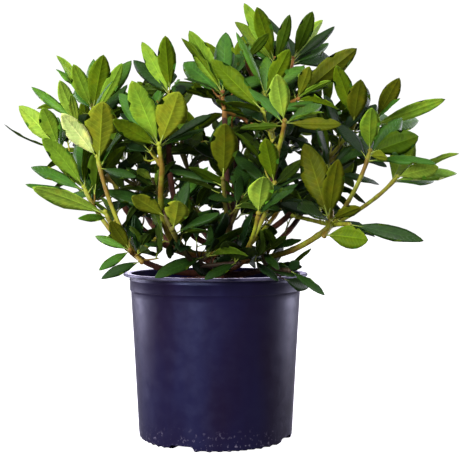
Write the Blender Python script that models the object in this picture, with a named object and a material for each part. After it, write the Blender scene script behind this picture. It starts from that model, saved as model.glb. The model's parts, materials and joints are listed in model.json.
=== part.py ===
"""Potted rhododendron: a leafy evergreen shrub standing in a plastic nursery pot.

Z is up, the front is -Y, lengths are metres and the pot stands on z = 0 with its axis on the Z axis.
The crown grows in groups of shoots. A bough carries each group; every shoot ends in a rosette of leaves.
"""

import math
import random

import bmesh
import bpy
from mathutils import Matrix, Vector
from mathutils.bvhtree import BVHTree

MM = 0.001
POT_COLOUR = (0.030, 0.026, 0.070)
MIX_COLOUR = (0.110, 0.055, 0.030)
BARK_COLOUR = (0.180, 0.085, 0.045)
FOLIAGE_COLOUR = (0.105, 0.190, 0.030)

# nursery pot: eleven inches across the rim, nine and three quarters high
POT_SIDES = 44
POT_HEIGHT = 0.247
POT_BASE_RADIUS = 0.1159
POT_BODY_RADIUS = 0.1280
POT_STEP_HEIGHT = 0.2195
COLLAR_RADIUS = 0.1298
RIM_RADIUS = 0.1396
RIM_DEPTH = 0.0042
POT_WALL = 0.0020
POT_FLOOR = 0.0024
NOTCH_WIDTH = 0.038
NOTCH_HEIGHT = 0.008
NOTCH_CORNER = 0.005
NOTCH_BELOW = 0.002
NOTCH_BEYOND = 0.006
NOTCH_INTO_FLOOR = 0.012
NOTCH_FIRST_AZIMUTH = math.radians(-115.0)
NOTCH_COUNT = 4

# potting mix
CLEARANCE = 0.0004
SOIL_EDGE_HEIGHT = 0.221
SOIL_CROWN_HEIGHT = 0.236
SOIL_FLAT_RADIUS = 0.034
SOIL_LUMP = 0.0022

# woody frame
SEAT_GAP = 0.0003
SEAT_SEARCH = 0.008
SEAT_STEP = 0.0001
TRUNK_SIDES = 12
TRUNK_PATH = ((0.000, 0.000, 0.0), (0.004, -0.003, 0.020), (0.011, -0.006, 0.044), (0.016, -0.008, 0.070))
TRUNK_RADII = (0.0240, 0.0155, 0.0135, 0.0105)
ROOT_FLARE_LOBES = 5
ROOT_FLARE_DEPTH = 0.14
BOUGH_SIDES = 6
BOUGH_STEPS = 6
BOUGH_RADIUS_START = 0.0050
BOUGH_RADIUS_END = 0.0040
STUB_LENGTH = 0.009
TWIG_STEPS = 4
TWIG_RADIUS_START = 0.0040
TWIG_RADIUS_END = 0.0036
BUD_LENGTH = 0.006

# how much the crown rises from its front to its back, for each metre of depth
CROWN_LEAN = 0.02

# leaves
GOLDEN_ANGLE = math.radians(137.5)
LEAF_WIDTH = 0.36
LEAF_THICKNESS = 0.020
LEAF_ARCH = 0.05
LEAF_OUTLINE = ((0.0, 0.0), (0.30, 0.27), (0.68, 0.50), (1.0, 0.0))
EDGE_ON = 99
LEAF_MARGIN = 0.0007
ROOT_SPREAD = 0.6
LEAD_LEAN = 1.25
LEAD_SHORTEST = 0.65
LEAF_MARKS = (
    (0.25, 0.0), (0.42, 0.0), (0.74, 0.0), (0.88, 0.0), (1.0, 0.0), (0.38, 0.3), (0.38, -0.3), (0.55, 0.48),
    (0.55, -0.48), (0.68, 0.5), (0.68, -0.5), (0.82, 0.34), (0.82, -0.34), (0.55, 0.24), (0.55, -0.24),
    (0.68, 0.24), (0.68, -0.24), (0.58, 0.0),
)
LEAD_BARE = 0.25
LEAD_COVER = 0.46
LEAD_NEAR = 0.085
STEM_COVER = 0.007
SPREAD_INNER = math.radians(24.0)
SPREAD_OUTER = math.radians(84.0)
LEAD_SWINGS = (
    (0, 0), (6, 0), (-6, 0), (0, 6), (0, -6), (10, 5), (-10, 5), (10, -8), (-10, -8), (16, 0), (-16, 0),
)
SPREAD_SWINGS = (
    (0, 0), (22, 0), (-22, 0), (40, 8), (-40, 8), (60, -8), (-60, -8), (0, 18), (0, -18), (85, 0),
    (-85, 0), (120, 8), (180, -8),
)

# the eye the front elevation is drawn from, for the light gaps kept through the crown
EYE_DISTANCE = 1.42
EYE_HEIGHT = 0.337

# light gaps of the crown in the front elevation: across, height, half width, half height (mm)
LIGHT_GAPS = (
    (-24, 494, 23, 21), (238, 384, 26, 25), (130, 315, 23, 15), (92, 324, 17, 10), (-110, 257, 14, 7),
    (-44, 417, 11, 10), (-25, 296, 18, 5), (35, 434, 7, 11), (-7, 460, 7, 10), (-223, 439, 9, 7),
    (180, 513, 12, 7), (-93, 387, 7, 10), (-157, 378, 7, 9), (-20, 343, 10, 6), (-137, 329, 6, 7),
    (-223, 529, 7, 9), (-137, 531, 6, 7), (34, 325, 8, 7), (-258, 527, 14, 15), (-305, 465, 14, 12),
    (-285, 430, 20, 11), (-270, 415, 12, 6), (-90, 590, 6, 11), (-48, 573, 6, 15), (100, 630, 8, 20),
    (126, 630, 5, 15), (243, 545, 14, 34), (205, 552, 12, 14), (165, 263, 21, 12), (263, 345, 36, 12),
    (274, 328, 36, 5), (-128, 565, 8, 14), (-4, 600, 8, 9), (34, 614, 8, 18), (190, 540, 9, 9),
    (-234, 553, 8, 11), (-234, 328, 27, 8), (320, 440, 14, 12), (-237, 283, 56, 42), (-160, 205, 25, 22),
    (0, 185, 160, 44), (255, 232, 78, 42), (330, 345, 60, 20), (-318, 365, 40, 28), (-190, 312, 24, 10),
    (-58, 441, 6, 9), (-18, 405, 7, 5), (-63, 380, 5, 8), (-66, 362, 4, 6), (-100, 317, 9, 6),
    (-58, 318, 8, 7), (0, 276, 13, 4), (-83, 276, 6, 9), (118, 420, 10, 7), (127, 403, 5, 8),
    (173, 395, 4, 10), (44, 263, 6, 7), (-141, 418, 6, 8), (-138, 384, 6, 6),
    (18, 630, 10, 10), (-194, 338, 18, 8), (222, 334, 16, 8), (-283, 449, 14, 6), (150, 250, 9, 5),
    (-138, 236, 10, 14), (160, 216, 20, 9), (14, 622, 8, 12),
)

# Each group of shoots: the bough's start height on the trunk, its elbow and its fork (mm), then its
# shoots. A shoot: where its rosette sits (mm), leaf length (mm), number of leaves spread by the growth
# rule, and the leading leaves. A leading leaf: its tip's reach across and up from the rosette (mm), the
# side it leans to (1 is forward, -1 is back), how far it turns its underside (plus) or its upper face
# (minus) forward, in tenths, and its own length (mm) where that isn't the shoot's. Stems named as shown
# are those that no spread leaf hides from the front; of a bough it is the outer half.
GROUPS = {
    "left_low": {
        "start": 11, "elbow": (-75, -90, 251), "fork": (-105, -132, 278),
        "shown": ("bough", "c"),
        "shoots": {
            "a": ((-185, -100, 375), 100, 4, ((-49, 69, 1, 6), (-84, 32, -1, -3))),
            "b": ((-150, -140, 340), 112, 2, ((-110, 40, -1, -5), (-89, 35, 1, 5), (-31, -6, 1, -8, 60))),
            "c": ((-160, -150, 415), 95, 4, ((-40, 56, 1, 7), (14, 71, 1, 9), (57, -27, 1, -4))),
            "d": ((-115, -160, 290), 85, 1, ((-23, 41, 1, 8), (-53, 18, -1, -7), (-38, -24, 1, -6))),
            "e": ((-85, -110, 302), 75, 5, ()),
            "f": ((-100, -165, 276), 62, 0, ((-50, -21, 1, -7, 62),)),
        },
    },
    "left_high": {
        "start": 30, "elbow": (-120, -40, 290), "fork": (-145, -50, 375),
        "shoots": {
            "a": ((-230, -60, 435), 95, 5, ((-62, 62, -1, 9), (-13, 53, 1, 8), (-65, 27, 1, EDGE_ON),
                                            (-6, 46, -1, 4))),
            "b": ((-210, -10, 475), 90, 3, ((-70, 54, -1, -9), (-17, 57, 1, 8), (0, 36, 1, 3))),
            "c": ((-190, 20, 500), 95, 2, ((-54, 79, -1, 4), (-60, 64, -1, 3), (-21, 59, 1, 7),
                                           (25, 72, 1, 9), (-4, 81, -1, -4), (60, 73, -1, -8),
                                           (52, 61, 1, 8))),
            "d": ((-185, -50, 465), 85, 4, ((39, 62, 1, -4), (55, 63, -1, -5))),
        },
    },
    "front_left": {
        "start": 40, "elbow": (-90, -70, 268), "fork": (-72, -165, 395),
        "shown": ("bough",),
        "shoots": {
            "a": ((-75, -180, 430), 95, 3, ((-33, 82, 1, 8), (29, 66, 1, 9), (-56, 31, 1, 7),
                                            (70, 46, -1, -3), (60, 26, -1, -2), (-55, 73, -1, -3))),
            "b": ((-100, -85, 445), 88, 6, ()),
        },
    },
    "upper_left": {
        "start": 54, "elbow": (-75, -15, 295), "fork": (-67, -75, 460),
        "shoots": {
            "a": ((-65, -80, 510), 95, 4, ((-4, 73, 1, 8), (-43, 79, -1, 8), (-57, 55, -1, -9),
                                           (17, 12, 1, -4), (-27, 4, 1, -3))),
            "b": ((-15, -40, 430), 85, 6, ()),
        },
    },
    "low_front_left": {
        "start": 19, "elbow": (-20, -85, 255), "fork": (-26, -125, 265),
        "shoots": {
            "a": ((-70, -140, 340), 95, 5, ((-86, 32, -1, -5), (-41, 24, 1, 6))),
            "b": ((-55, -220, 320), 70, 2, ((10, 38, 1, 9, 70),)),
            "c": ((-92, -40, 386), 70, 3, ((-23, 16, 1, 8, 34), (14, 18, 1, 8, 28))),
            "d": ((-15, -140, 280), 95, 5, ((-65, -25, 1, -4),)),
            "e": ((30, -140, 272), 90, 4, ((-45, -20, 1, -4),)),
        },
    },
    "upper_front": {
        "start": 64, "elbow": (18, -95, 335), "fork": (13, -80, 475),
        "shown": ("bough",),
        "shoots": {
            "a": ((10, -80, 510), 95, 4, ((-48, 90, 1, 8), (-59, 80, -1, 3), (-55, 15, 1, -3),
                                          (5, 92, -1, -8), (10, 87, -1, 8), (-57, 52, -1, -8))),
            "b": ((50, -45, 470), 85, 5, ()),
        },
    },
    "front_middle": {
        "start": 36, "elbow": (20, -110, 270), "fork": (18, -125, 310),
        "shoots": {
            "a": ((10, -170, 385), 90, 4, ((2, 72, 1, 9),)),
            "b": ((35, -140, 360), 95, 5, ((-71, 42, 1, 5), (-45, 0, 1, -5))),
            "c": ((-30, -95, 345), 88, 6, ()),
        },
    },
    "front_right": {
        "start": 17, "elbow": (38, -120, 259), "fork": (45, -158, 294),
        "shown": ("a",),
        "shoots": {
            "a": ((55, -220, 340), 80, 4, ((4, 48, 1, 9, 72),)),
            "b": ((80, -150, 380), 90, 4, ((-15, 59, 1, 8), (38, 37, -1, 8), (-41, 48, -1, -5))),
            "c": ((100, -80, 360), 88, 6, ()),
        },
    },
    "upper_right_front": {
        "start": 46, "elbow": (70, -85, 300), "fork": (82, -165, 415),
        "shown": ("a",),
        "shoots": {
            "a": ((90, -200, 460), 95, 3, ((-13, 57, 1, 9), (68, 4, 1, 9), (48, 10, 1, 2), (54, 28, -1, -4),
                                           (-45, 50, -1, -4), (-57, -5, -1, 8))),
            "b": ((65, -140, 480), 90, 3, ((-71, 70, 1, 8),)),
            "c": ((70, -80, 510), 95, 3, ((-41, 88, -1, -4), (32, 57, 1, 7), (63, 48, -1, -5),
                                          (6, 60, -1, -4))),
        },
    },
    "top": {
        "start": 62, "elbow": (80, 12, 330), "fork": (85, -5, 480),
        "shoots": {
            "a": ((90, 0, 570), 98, 3, ((-47, 86, -1, 8), (-30, 69, 1, 7), (-60, 65, -1, 6),
                                        (19, 60, 1, 8))),
            "b": ((120, 30, 575), 95, 4, ((25, 65, 1, 7), (51, 69, -1, 6), (69, 57, -1, -5),
                                          (58, 21, -1, -9), (62, 34, -1, -6))),
            "c": ((120, -50, 505), 100, 3, ((13, 42, 1, 9), (88, 75, 1, 8), (45, 23, 1, 2))),
            "d": ((45, -20, 565), 80, 4, ((33, 36, 1, 7), (-26, 10, 1, 3))),
        },
    },
    "right_front": {
        "start": 33, "elbow": (95, -85, 264), "fork": (155, -122, 318),
        "shown": ("bough", "c", "d"),
        "shoots": {
            "a": ((155, -140, 330), 110, 3, ((-33, 106, 1, 8), (5, 82, 1, 8), (37, 19, 1, 6, 65))),
            "b": ((180, -160, 325), 105, 1, ((92, -20, 1, -8),)),
            "c": ((215, -120, 425), 95, 2, ((-5, 58, 1, 9), (58, 19, 1, 9), (14, -10, 1, 6),
                                            (56, 52, -1, -6), (-43, 45, -1, -6), (84, -17, 1, -4))),
            "d": ((260, -80, 390), 97, 2, ((49, 14, 1, 9, 72), (91, 35, -1, 4), (94, 7, -1, -5),
                                           (34, 68, -1, 8))),
            "e": ((147, -165, 311), 64, 0, ((53, -5, 1, 9),)),
            "f": ((165, -60, 405), 88, 5, ((-42, 42, -1, -5), (-25, 60, 1, -5), (80, -24, -1, -6))),
            "g": ((112, -90, 335), 80, 4, ()),
        },
    },
    "right_high": {
        "start": 50, "elbow": (125, -5, 320), "fork": (150, 0, 395),
        "shoots": {
            "a": ((210, -20, 475), 95, 4, ((-38, 81, 1, 9), (1, 58, 1, 8))),
            "b": ((250, 30, 480), 105, 3, ((26, 61, 1, 7), (27, 29, 1, -5), (79, 5, -1, -9),
                                           (108, 34, -1, 9, 112))),
        },
    },
    "low_front_right": {
        "start": 8, "elbow": (52, -52, 249), "fork": (68, -92, 259),
        "shoots": {
            "b": ((65, -115, 285), 60, 4, ((21, -22, 1, -5, 50),)),
            "c": ((100, -145, 262), 80, 2, ((45, -30, 1, -3), (13, 14, 1, -8, 30), (28, 32, 1, 4))),
        },
    },
    "back_left": {
        "start": 28, "elbow": (-110, 70, 290), "fork": (-125, 105, 370),
        "shoots": {
            "a": ((-205, 105, 440), 92, 8, ()),
            "b": ((-155, 185, 420), 92, 8, ()),
            "c": ((-120, 95, 490), 92, 8, ()),
            "d": ((-185, 60, 360), 88, 7, ()),
            "e": ((-95, 30, 435), 85, 6, ()),
        },
    },
    "back_middle_left": {
        "start": 50, "elbow": (-45, 80, 320), "fork": (-45, 115, 400),
        "shoots": {
            "a": ((-75, 160, 490), 92, 8, ()),
            "b": ((-15, 225, 435), 92, 8, ()),
            "c": ((-90, 210, 360), 88, 7, ()),
            "d": ((-55, 85, 455), 85, 6, ()),
        },
    },
    "back_top": {
        "start": 58, "elbow": (28, 45, 335), "fork": (35, 60, 460),
        "shoots": {
            "a": ((30, 110, 555), 92, 8, ()),
            "b": ((85, 120, 530), 92, 8, ()),
            "c": ((30, 160, 480), 92, 8, ()),
            "d": ((5, 30, 515), 85, 6, ()),
        },
    },
    "back_middle_right": {
        "start": 36, "elbow": (60, 85, 290), "fork": (80, 120, 375),
        "shoots": {
            "a": ((85, 205, 460), 92, 8, ()),
            "b": ((140, 180, 500), 92, 8, ()),
            "c": ((60, 230, 370), 88, 7, ()),
        },
    },
    "back_right": {
        "start": 20, "elbow": (110, 45, 280), "fork": (145, 75, 350),
        "shoots": {
            "a": ((220, 110, 440), 95, 8, ()),
            "b": ((180, 90, 500), 95, 7, ()),
            "c": ((190, 60, 370), 88, 7, ()),
        },
    },
}


def clear_scene():
    """Remove everything the new file came with."""
    for thing in list(bpy.data.objects):
        bpy.data.objects.remove(thing, do_unlink=True)


def plain_material(name, colour, roughness):
    """A plain material of one colour."""
    material = bpy.data.materials.new(name)
    material.use_nodes = True
    shader = material.node_tree.nodes["Principled BSDF"]
    shader.inputs["Base Color"].default_value = (*colour, 1.0)
    shader.inputs["Roughness"].default_value = roughness
    material.diffuse_color = (*colour, 1.0)
    return material


def link_object(name, mesh, material=None):
    """Put a mesh in the scene under its name."""
    thing = bpy.data.objects.new(name, mesh)
    bpy.context.scene.collection.objects.link(thing)
    if material:
        mesh.materials.append(material)
    return thing


def mesh_from(name, points, faces):
    """A mesh from points and faces, its faces turned outward."""
    mesh = bpy.data.meshes.new(name)
    mesh.from_pydata([tuple(point) for point in points], [], faces)
    body = bmesh.new()
    body.from_mesh(mesh)
    bmesh.ops.recalc_face_normals(body, faces=body.faces)
    body.to_mesh(mesh)
    body.free()
    return mesh


def smooth_faces(mesh, angle):
    """Shade a mesh smooth except over its sharper edges."""
    for face in mesh.polygons:
        face.use_smooth = True
    mesh.set_sharp_from_angle(angle=angle)


def turned_body(profile, sides):
    """Points and faces of a closed body turned round Z from (radius, height) pairs that end on the axis."""
    points = []
    rings = []
    for radius, height in profile:
        if radius == 0.0:
            rings.append([len(points)])
            points.append(Vector((0.0, 0.0, height)))
            continue
        rings.append(list(range(len(points), len(points) + sides)))
        for side in range(sides):
            turn = 2.0 * math.pi * side / sides
            points.append(Vector((radius * math.cos(turn), radius * math.sin(turn), height)))
    faces = []
    for lower, upper in zip(rings, rings[1:]):
        for side in range(sides):
            after = (side + 1) % sides
            if len(lower) == 1:
                faces.append((lower[0], upper[side], upper[after]))
            elif len(upper) == 1:
                faces.append((lower[side], lower[after], upper[0]))
            else:
                faces.append((lower[side], lower[after], upper[after], upper[side]))
    return points, faces


def inner_radius(height):
    """The pot's inside radius at a height below its step."""
    slope = (POT_BODY_RADIUS - POT_BASE_RADIUS) / POT_STEP_HEIGHT
    return POT_BASE_RADIUS + slope * height - POT_WALL


def make_pot():
    """The tapered pot with its collar, rolled rim and four drain notches."""
    profile = (
        (0.0, 0.0),
        (POT_BASE_RADIUS - 0.0015, 0.0),
        (POT_BASE_RADIUS, 0.0025),
        (POT_BODY_RADIUS, POT_STEP_HEIGHT),
        (COLLAR_RADIUS, POT_STEP_HEIGHT + 0.0022),
        (COLLAR_RADIUS, POT_HEIGHT - RIM_DEPTH - 0.0008),
        (RIM_RADIUS - 0.0010, POT_HEIGHT - RIM_DEPTH),
        (RIM_RADIUS, POT_HEIGHT - RIM_DEPTH + 0.0010),
        (RIM_RADIUS, POT_HEIGHT - 0.0014),
        (RIM_RADIUS - 0.0014, POT_HEIGHT),
        (COLLAR_RADIUS - POT_WALL + 0.0012, POT_HEIGHT),
        (COLLAR_RADIUS - POT_WALL, POT_HEIGHT - 0.0012),
        (COLLAR_RADIUS - POT_WALL, POT_STEP_HEIGHT + 0.0022),
        (inner_radius(POT_STEP_HEIGHT), POT_STEP_HEIGHT),
        (inner_radius(POT_FLOOR), POT_FLOOR),
        (0.0, POT_FLOOR),
    )
    points, faces = turned_body(profile, POT_SIDES)
    material = plain_material("pot", POT_COLOUR, 0.4)
    pot = link_object("pot", mesh_from("pot", points, faces), material)
    cutters = bpy.data.collections.new("drain_notches")
    bpy.context.scene.collection.children.link(cutters)
    for count in range(NOTCH_COUNT):
        azimuth = NOTCH_FIRST_AZIMUTH + count * 2.0 * math.pi / NOTCH_COUNT
        reach = (POT_BASE_RADIUS - NOTCH_INTO_FLOOR, POT_BASE_RADIUS + NOTCH_BEYOND)
        half = NOTCH_WIDTH / 2.0
        flat = half - NOTCH_CORNER
        low = NOTCH_HEIGHT - NOTCH_CORNER
        section = (
            (-half, -NOTCH_BELOW), (half, -NOTCH_BELOW), (half, low),
            (flat, NOTCH_HEIGHT), (-flat, NOTCH_HEIGHT), (-half, low),
        )
        corners = [Vector((along, across, up)) for along in reach for across, up in section]
        size = len(section)
        sides = [tuple(range(size)), tuple(range(size, 2 * size))]
        for side in range(size):
            after = (side + 1) % size
            sides.append((side, after, after + size, side + size))
        mesh = mesh_from("notch", corners, sides)
        cutter = bpy.data.objects.new("notch", mesh)
        cutter.matrix_world = Matrix.Rotation(azimuth, 4, "Z")
        cutters.objects.link(cutter)
    apply_boolean(pot, cutters, "DIFFERENCE", "EXACT")
    smooth_faces(pot.data, math.radians(40.0))
    return pot


def apply_boolean(thing, collection, operation, solver):
    """Join or cut a body with everything in a collection, then remove the collection."""
    step = thing.modifiers.new("join", "BOOLEAN")
    step.operation = operation
    step.solver = solver
    step.operand_type = "COLLECTION"
    step.collection = collection
    bpy.context.view_layer.update()
    result = bpy.data.meshes.new_from_object(thing.evaluated_get(bpy.context.evaluated_depsgraph_get()))
    thing.modifiers.remove(step)
    thing.data = result
    for used in list(collection.objects):
        bpy.data.objects.remove(used, do_unlink=True)
    bpy.data.collections.remove(collection)


def make_potting_mix():
    """The bark mix filling the pot, a low mound with a flat middle for the trunk."""
    chance = random.Random(11)
    low = POT_FLOOR + CLEARANCE
    edge_low = inner_radius(low) - CLEARANCE
    edge_high = inner_radius(SOIL_EDGE_HEIGHT) - CLEARANCE
    profile = (
        (0.0, low),
        (edge_low, low),
        (edge_high, SOIL_EDGE_HEIGHT),
        (0.108, SOIL_EDGE_HEIGHT + 0.003),
        (0.082, SOIL_EDGE_HEIGHT + 0.007),
        (0.056, SOIL_EDGE_HEIGHT + 0.011),
        (SOIL_FLAT_RADIUS, SOIL_CROWN_HEIGHT),
        (0.0, SOIL_CROWN_HEIGHT),
    )
    points, faces = turned_body(profile, POT_SIDES)
    for point in points:
        radius = math.hypot(point.x, point.y)
        if SOIL_FLAT_RADIUS + 0.01 < radius < edge_high - 0.004 and point.z > 0.1:
            point.z += chance.uniform(-SOIL_LUMP, SOIL_LUMP)
    material = plain_material("potting_mix", MIX_COLOUR, 0.9)
    return link_object("potting_mix", mesh_from("potting_mix", points, faces), material)


def tube_rings(path, radii, sides, turn=0.0):
    """Rings of points square to a path, carried along it without twist."""
    rings = []
    side_way = None
    for count, point in enumerate(path):
        before = path[max(count - 1, 0)]
        after = path[min(count + 1, len(path) - 1)]
        along = (after - before).normalized()
        if side_way is None:
            side_way = along.orthogonal().normalized()
        side_way = (side_way - along * side_way.dot(along)).normalized()
        other = along.cross(side_way)
        ring = []
        for side in range(sides):
            angle = turn + 2.0 * math.pi * side / sides
            ring.append(point + radii[count] * (math.cos(angle) * side_way + math.sin(angle) * other))
        rings.append(ring)
    return rings


def body_from_rings(rings, tip=None):
    """Points and faces of a closed body through rings, flat at the start, flat or pointed at the end."""
    sides = len(rings[0])
    points = [point for ring in rings for point in ring]
    faces = [tuple(range(sides))]
    for level in range(len(rings) - 1):
        for side in range(sides):
            after = (side + 1) % sides
            low, high = level * sides, (level + 1) * sides
            faces.append((low + side, low + after, high + after, high + side))
    last = (len(rings) - 1) * sides
    if tip is None:
        faces.append(tuple(range(last, last + sides)))
    else:
        points.append(tip)
        for side in range(sides):
            faces.append((last + side, last + (side + 1) % sides, len(points) - 1))
    return points, faces


def crown_point(place):
    """A point of the crown from its design place (mm), raised or lowered by the crown's lean."""
    spot = Vector(place) * MM
    spot.z += CROWN_LEAN * spot.y
    return spot


def curve_points(start, elbow, end, steps):
    """Points on a curve that leaves the start toward the elbow and reaches the end from it."""
    path = []
    for step in range(steps + 1):
        along = step / steps
        back = 1.0 - along
        path.append(start * back * back + elbow * 2.0 * back * along + end * along * along)
    return path


def trunk_point(height):
    """The trunk's centre and radius at a height above the potting mix."""
    for low, high, near, far in zip(TRUNK_PATH, TRUNK_PATH[1:], TRUNK_RADII, TRUNK_RADII[1:]):
        if height <= high[2]:
            part = (height - low[2]) / (high[2] - low[2])
            centre = Vector(low).lerp(Vector(high), part)
            return centre + Vector((0.0, 0.0, SOIL_CROWN_HEIGHT + SEAT_GAP)), near + part * (far - near)
    return Vector(TRUNK_PATH[-1]) + Vector((0.0, 0.0, SOIL_CROWN_HEIGHT + SEAT_GAP)), TRUNK_RADII[-1]


def trunk_body():
    """The short leaning trunk's shape: flat cut on the mix, flared foot, tapering to its first forks."""
    base = Vector((0.0, 0.0, SOIL_CROWN_HEIGHT + SEAT_GAP))
    rings = []
    for level, (offset, radius) in enumerate(zip(TRUNK_PATH, TRUNK_RADII)):
        ring = []
        for side in range(TRUNK_SIDES):
            turn = 2.0 * math.pi * side / TRUNK_SIDES
            lobe = 1.0
            if level == 0:
                lobe += ROOT_FLARE_DEPTH * math.cos(ROOT_FLARE_LOBES * turn)
            out = Vector((math.cos(turn), math.sin(turn), 0.0))
            ring.append(base + Vector(offset) + radius * lobe * out)
        rings.append(ring)
    points, faces = body_from_rings(rings, base + Vector(TRUNK_PATH[-1]) + Vector((0.001, 0.0, 0.004)))
    split = [face for face in faces if len(face) != 4]
    for first, second, third, fourth in [face for face in faces if len(face) == 4]:
        split += [(first, second, third), (first, third, fourth)]
    return points, split


def make_trunk():
    """The trunk."""
    material = plain_material("bark_trunk", BARK_COLOUR, 0.8)
    trunk = link_object("trunk", mesh_from("trunk", *trunk_body()), material)
    smooth_faces(trunk.data, math.radians(50.0))
    return trunk


def bough_paths():
    """Each bough's centre line by name: it starts as near the trunk as it may, then elbow and fork."""
    trunk = tree_of(*trunk_body())
    paths = {}
    for name, group in GROUPS.items():
        fork = crown_point(group["fork"])
        elbow = crown_point(group["elbow"])
        centre, radius = trunk_point(group["start"] * MM)
        outward = Vector((elbow.x - centre.x, elbow.y - centre.y, 0.0)).normalized()
        radii = [own + SEAT_GAP for own in bough_radii()]
        reach = radius + SEAT_SEARCH
        while True:
            inner = curve_points(centre + outward * (reach - SEAT_GAP), elbow, fork, BOUGH_STEPS)
            if tree_of(*body_from_rings(tube_rings(inner, radii, BOUGH_SIDES))).overlap(trunk):
                break
            paths[name] = curve_points(centre + outward * reach, elbow, fork, BOUGH_STEPS)
            reach -= SEAT_STEP
    return paths


def bough_radii():
    """The bough's radius at each step."""
    return [BOUGH_RADIUS_START + (BOUGH_RADIUS_END - BOUGH_RADIUS_START) * step / BOUGH_STEPS
            for step in range(BOUGH_STEPS + 1)]


def make_bough(name, path):
    """One tapering bough."""
    material = plain_material("bark_" + name, BARK_COLOUR, 0.8)
    points, faces = body_from_rings(tube_rings(path, bough_radii(), BOUGH_SIDES))
    bough = link_object("bough_" + name, mesh_from("bough_" + name, points, faces), material)
    smooth_faces(bough.data, math.radians(50.0))
    return bough


def shoot_axis(place):
    """The way a shoot's rosette faces: up, and outward the farther it stands from the middle."""
    outward = Vector((place.x - 0.02, place.y, 0.0))
    return (Vector((0.0, 0.0, 1.0)) + outward * 2.0).normalized()


def twig_path(root, way, place):
    """A twig's centre line: outward first, then up into its rosette."""
    reach = place - root
    elbow = root + Vector((reach.x * 0.65, reach.y * 0.65, reach.z * 0.44)) + way * 0.004
    return curve_points(root, elbow, place, TWIG_STEPS)


def leaf_frame(way, upper):
    """Across and face directions of a blade that runs one way with its upper face as told."""
    face = (upper - way * upper.dot(way)).normalized()
    return way.cross(face), face


def leaf_body(root, way, upper, length, grow=0.0):
    """Points and faces of one leaf: a six-cornered blade, thickest at its middle, arched along it."""
    across, face = leaf_frame(way, upper)
    width = LEAF_WIDTH * length
    thickness = LEAF_THICKNESS * length
    rim = []
    outline = list(LEAF_OUTLINE) + [(along, -side) for along, side in LEAF_OUTLINE[-2:0:-1]]
    for along, side in outline:
        rise = LEAF_ARCH * length * 4.0 * along * (1.0 - along)
        spot = root + way * (along * length) + across * (side * width) + face * rise
        if grow:
            spot += (way * (along - 0.5) * 2.0 + across * side * 2.0) * grow
        rim.append(spot)
    middle = root + way * (0.52 * length) + face * (LEAF_ARCH * length)
    high = len(rim)
    points = rim + [middle + face * (thickness / 2.0 + grow), middle - face * (thickness / 2.0 + grow)]
    faces = []
    for corner in range(high):
        after = (corner + 1) % high
        faces.append((corner, after, high))
        faces.append((after, corner, high + 1))
    return points, faces


def facing(way, axis, turn_forward):
    """The upper face's direction: toward the shoot's axis, turned to or from the front."""
    natural = axis - way * axis.dot(way)
    if natural.length < 0.15:
        natural = Vector((0.0, 0.0, 1.0)) - way * way.z
    natural.normalize()
    back = Vector((0.0, 1.0, 0.0)) - way * way.y
    if not turn_forward or back.length < 0.1:
        return natural
    back.normalize()
    if turn_forward == EDGE_ON:
        return way.cross(back)
    share = abs(turn_forward) / 10.0
    if turn_forward < 0:
        back = -back
    mixed = natural * (1.0 - share) + back * share
    if mixed.length < 0.1:
        return natural
    return mixed.normalized()


def swung(leaf, axis, turn, lift):
    """A leaf swung round its shoot and toward or from the shoot's axis."""
    root, way, upper, length = leaf
    around = Matrix.Rotation(turn, 3, axis)
    way = around @ way
    upper = around @ upper
    hinge = axis.cross(way)
    if hinge.length > 0.1:
        bend = Matrix.Rotation(lift, 3, hinge.normalized())
        way = bend @ way
        upper = bend @ upper
    return root, way, upper, length


def leading_leaves(place, below, axis, length, leads):
    """The leaves placed one by one, each with the slight swings it may take to stay clear."""
    leaves = []
    for number, (across, up, side, turn_forward, *own_length) in enumerate(leads):
        shown = math.hypot(across, up)
        size = own_length[0] if own_length else min(length, max(LEAD_LEAN * shown, LEAD_SHORTEST * length))
        root = place.lerp(below, ROOT_SPREAD * number / len(leads))
        rest = size * size - shown * shown
        depth = math.sqrt(max(rest, 0.0))
        reach = place + crown_point((across, -side * depth, up)) - root
        way = reach.normalized()
        leaf = (root, way, facing(way, axis, turn_forward), reach.length)
        leaves.append([swung(leaf, axis, math.radians(turn), math.radians(lift))
                       for turn, lift in LEAD_SWINGS])
    return leaves


def spread_leaves(place, below, axis, length, count, chance):
    """The leaves dealt round the shoot by the golden angle, inner ones upright, outer ones spread."""
    leaves = []
    first = axis.orthogonal().normalized()
    second = axis.cross(first)
    roll = chance.uniform(0.0, 2.0 * math.pi)
    for number in range(count):
        turn = roll + number * GOLDEN_ANGLE + chance.uniform(-0.15, 0.15)
        part = (number + 0.5) / count
        spread = SPREAD_INNER + (SPREAD_OUTER - SPREAD_INNER) * part + chance.uniform(-0.12, 0.12)
        out = math.cos(turn) * first + math.sin(turn) * second
        way = (axis * math.cos(spread) + out * math.sin(spread)).normalized()
        size = length * MM * chance.uniform(0.84, 1.0)
        leaf = (place.lerp(below, ROOT_SPREAD * part), way, facing(way, axis, 0), size)
        leaves.append([swung(leaf, axis, math.radians(turn), math.radians(lift))
                       for turn, lift in SPREAD_SWINGS])
    return leaves


def shown_at(point):
    """Where a point shows in the front elevation: across and height."""
    scale = EYE_DISTANCE / (EYE_DISTANCE + point.y)
    return Vector((point.x * scale, EYE_HEIGHT + (point.z - EYE_HEIGHT) * scale))


def leaf_marks(leaf):
    """Points spread over a leaf, its middle last, by which its place in the front elevation is judged."""
    root, way, upper, length = leaf
    across, _ = leaf_frame(way, upper)
    marks = []
    for along, side in LEAF_MARKS:
        marks.append(root + way * (along * length) + across * (side * LEAF_WIDTH * length))
    return marks


def in_light_gap(points):
    """Whether any of a leaf's points shows in a light gap of the front elevation."""
    for point in points:
        across, height = shown_at(point)
        for gap_x, gap_z, half_x, half_z in LIGHT_GAPS:
            if ((across / MM - gap_x) / half_x) ** 2 + ((height / MM - gap_z) / half_z) ** 2 < 1.0:
                return True
    return False


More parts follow.
